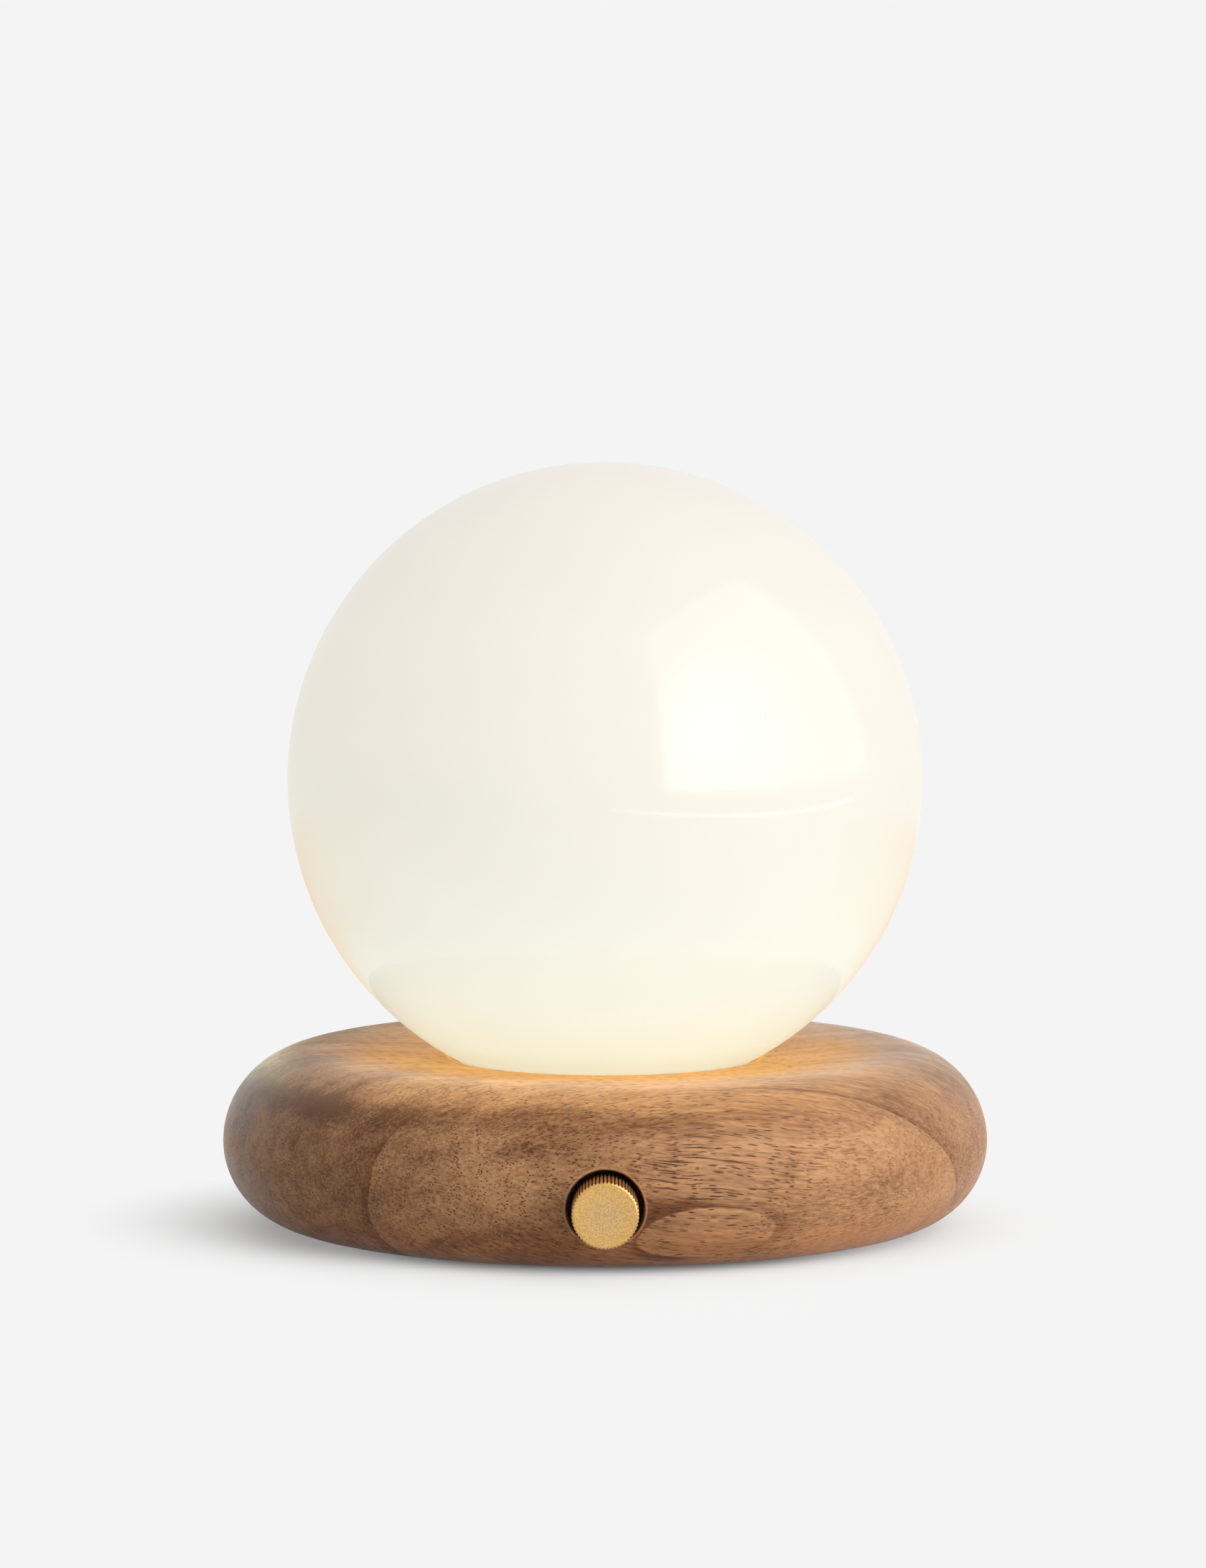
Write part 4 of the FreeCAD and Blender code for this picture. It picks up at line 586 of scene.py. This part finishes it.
# Opal globe: blown glass, a thin opal white layer cased in clear glass, so that it glows evenly and
# still shines. Its ground mouth sits in the collar, and the glow is warmest there, next to the LEDs.
opal_glow = (
    (0.00, (0.87, 0.83, 0.61, 1)),
    (0.045, (0.93, 0.925, 0.715, 1)),
    (0.10, (0.90, 0.905, 0.755, 1)),
    (0.16, (0.855, 0.875, 0.765, 1)),
    (0.26, (0.81, 0.82, 0.73, 1)),
    (0.47, (0.755, 0.755, 0.675, 1)),
    (0.735, (0.775, 0.755, 0.69, 1)),
    (1.00, (0.735, 0.71, 0.665, 1)),
)
globe_low, globe_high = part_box("glass_globe")
opal, tree, shader = new_finish(
    "opal_glass", Roughness=0.25, IOR=1.5, Specular_IOR_Level=0.0, Coat_Weight=0.5,
    Coat_Roughness=0.07, Coat_IOR=1.5, Coat_Tint=(0.94, 0.89, 0.85, 1), Emission_Strength=1.0)
place = own_place(tree)
level = fade(tree, along(tree, place)["Z"], globe_low.z, globe_high.z)
level.node.interpolation_type = "LINEAR"
glow = put(tree, "ValToRGB", Fac=level)
while len(glow.color_ramp.elements) < len(opal_glow):
    glow.color_ramp.elements.new(0.5)
for element, (position, colour) in zip(glow.color_ramp.elements, opal_glow):
    element.position = position
    element.color = colour
cloud = fade(tree, noise(tree, stretch(tree, place, (18, 18, 30)), 3.0), 0.3, 0.7, 0.975, 1.0)
milk = mix(tree, cloud, (0.11, 0.108, 0.10, 1), (0.13, 0.128, 0.12, 1))
paint(tree, shader, Base_Color=milk, Emission_Color=mix(tree, 1.0, glow.outputs[0], cloud, "MULTIPLY"))
dress(opal, "glass_globe")

# Stage: a plain pale floor that runs into a pale backdrop. Near the lamp it is matte and keeps the
# lamp's shadow, and further out it is flat white to the eye. In the globe's gloss, the floor behind
# the lamp shows a painted pool of the warm light that the lamp throws on it.
stage_white = (0.905, 0.905, 0.905, 1)
floor_grey = (0.68, 0.68, 0.68, 1)
painted_lamp_pool_orange = (0.96, 0.56, 0.24, 1)
floor_radius = 30
mesh = bpy.data.meshes.new("floor")
form = bmesh.new()
bmesh.ops.create_circle(form, cap_ends=True, segments=64, radius=floor_radius)
form.to_mesh(mesh)
form.free()
floor = bpy.data.objects.new("floor", mesh)
bpy.context.scene.collection.objects.link(floor)


def seen(tree):
    """One for what the camera sees, in mirrors and through glass too, and zero for light that bounces."""
    path = put(tree, "LightPath").outputs
    direct = calc(tree, "MAXIMUM", path["Is Camera Ray"], path["Is Glossy Ray"])
    return calc(tree, "MAXIMUM", direct, path["Is Transmission Ray"])


paper, tree, shader = new_finish("floor_paper")
tree.nodes.remove(shader)
matte = put(tree, "BsdfDiffuse", Color=floor_grey).outputs[0]
flat = put(tree, "Emission", Color=stage_white, Strength=1.0).outputs[0]
place = own_place(tree)
spot = along(tree, place)
reach = distance(tree, stretch(tree, place, (1.5, 1.7, 1), (0.010, 0, 0)))
from_lamp = distance(tree, place)
in_front = times(tree, fade(tree, spot["Y"], -0.02, -0.06),
                 fade(tree, calc(tree, "ABSOLUTE", spot["X"]), 0.085, 0.03))
side_share = fade(tree, reach, 0.10, 0.19, 0.33, 1.0)
front_share = plus(tree, fade(tree, from_lamp, 0.062, 0.088, 0.05, 0.76),
                   fade(tree, from_lamp, 0.10, 0.17, 0.0, 0.24))
change = times(tree, in_front, calc(tree, "SUBTRACT", front_share, side_share))
share = times(tree, plus(tree, side_share, change), seen(tree))
both = put(tree, "MixShader", Fac=share, Shader=matte, Shader_001=flat).outputs[0]
# Painted reflection: a warm pool of lamp light on the floor, seen only in gloss.
painted_lamp_pool = put(tree, "Emission", Color=painted_lamp_pool_orange, Strength=1.0).outputs[0]
behind = times(tree, band(tree, from_lamp, (0.12, 0.22), (0.85, 0.5)), fade(tree, spot["Y"], -0.06, 0.02))
mirrored = times(tree, behind, put(tree, "LightPath").outputs["Is Glossy Ray"])
both = put(tree, "MixShader", Fac=mirrored, Shader=both, Shader_001=painted_lamp_pool).outputs[0]
tree.links.new(both, tree.nodes["Material Output"].inputs["Surface"])
mesh.materials.append(paper)

# Light: a room that is brightest overhead, a large window panel on the right, a low reflector at the
# right front, a dim card on the left, and a thin bright strip where the table ends. Two small lamps
# give the light that the lit globe throws on the wood at its foot.
room = bpy.data.worlds.new("room")
room.use_nodes = True
tree = room.node_tree
upward = calc(tree, "MAXIMUM", along(tree, put(tree, "TexCoord").outputs["Generated"])["Z"], 0.0)
dome = times(tree, calc(tree, "POWER", upward, 2.0), 1.35)
paint(tree, tree.nodes["Background"], Color=mix(tree, seen(tree), dome, stage_white))
bpy.context.scene.world = room


def panel(name, azimuth, reach, width, low, high, radiance):
    """An upright soft light that faces the lamp's axis; azimuth 0 is the camera's side, 90 the right."""
    lamp = bpy.data.lights.new(name, "AREA")
    lamp.shape = "RECTANGLE"
    lamp.size = width
    lamp.size_y = high - low
    watts_for_one = 4 * width * (high - low)
    lamp.energy = radiance * watts_for_one
    light = bpy.data.objects.new(name, lamp)
    way = Vector((math.sin(math.radians(azimuth)), -math.cos(math.radians(azimuth)), 0))
    light.location = way * reach + Vector((0, 0, (low + high) / 2))
    light.rotation_euler = way.to_track_quat("Z", "Y").to_euler()
    light.visible_camera = False
    bpy.context.scene.collection.objects.link(light)
    return light


window_place = {"azimuth": 64, "reach": 1.3, "width": 2.7, "low": 0.05, "high": 2.65}
hot_across = 0.265
hot_up = 0.224
window = panel("window", radiance=2.5, **window_place)
window.data.use_nodes = True
tree = window.data.node_tree
spot = along(tree, put(tree, "NewGeometry").outputs["Parametric"])
aside = times(tree, calc(tree, "SUBTRACT", spot["X"], hot_across), window.data.size)
aloft = times(tree, calc(tree, "SUBTRACT", spot["Y"], hot_up), window.data.size_y)
away = distance(tree, put(tree, "CombineXYZ", X=aside, Y=aloft).outputs[0])
heat = fade(tree, away, 0.0, 1.25, 2.2, 0.5)
for axis, soft in (("X", 0.40), ("Y", 0.45)):
    off_centre = calc(tree, "ABSOLUTE", calc(tree, "SUBTRACT", spot[axis], 0.5))
    heat = times(tree, heat, fade(tree, off_centre, 0.5, soft))
paint(tree, tree.nodes["Emission"], Strength=heat)
side_fill = panel("side_fill", radiance=1.15, **window_place)
side_fill.visible_glossy = False
panel("card", azimuth=-67, reach=1.3, width=2.3, low=0.05, high=2.0, radiance=0.06)
reflector = panel("reflector", azimuth=35, reach=0.7, width=1.2, low=0.0, high=0.12, radiance=1.8)
reflector.visible_glossy = False
table_edge = panel("table_edge", azimuth=50, reach=0.75, width=1.7, low=0.002, high=0.011, radiance=4.5)
table_edge.visible_diffuse = False

lit = bpy.data.collections.new("lit_by_the_globe")
for name in ("wood_base", "dimmer_knob"):
    lit.objects.link(nodes[name])


def foot_glow(name, place, power, colour):
    """Light from the lit globe on the wood and the knob alone, as if the glass were not in its way."""
    lamp = bpy.data.lights.new(name, "POINT")
    lamp.energy = power
    lamp.shadow_soft_size = 0.02
    lamp.color = colour
    light = bpy.data.objects.new(name, lamp)
    light.location = place
    light.visible_camera = False
    light.visible_glossy = False
    light.light_linking.receiver_collection = lit
    light.light_linking.blocker_collection = lit
    bpy.context.scene.collection.objects.link(light)


foot_glow("front_glow", (-0.006, -0.046, 0.107), power=0.41, colour=(1.0, 0.92, 0.42))
foot_glow("middle_glow", (-0.030, 0, 0.095), power=0.125, colour=(1.0, 0.93, 0.66))

# Camera: on the knob's side, above the globe's top and looking slightly down at its middle through a
# long lens. Lens, distance and tilt are those fitted to the photo's outlines.
eye_distance = 1.8
eye_pitch = math.radians(5.31)
eye_target = Vector((0, 0, 0.10484))
frame_height = 2185
focal_pixels = 10613.27
axis_offset = 3.0
sensor_height = 36
camera_data = bpy.data.cameras.new("camera")
camera_data.sensor_fit = "VERTICAL"
camera_data.sensor_height = sensor_height
camera_data.lens = focal_pixels / frame_height * sensor_height
camera = bpy.data.objects.new("camera", camera_data)
back = Vector((0, -math.cos(eye_pitch), math.sin(eye_pitch)))
camera.location = eye_target + back * eye_distance
camera.location.x = -axis_offset / focal_pixels * eye_distance
camera.rotation_euler = (math.pi / 2 - eye_pitch, 0, 0)
bpy.context.scene.collection.objects.link(camera)
bpy.context.scene.camera = camera
bpy.context.scene.view_settings.view_transform = "Standard"
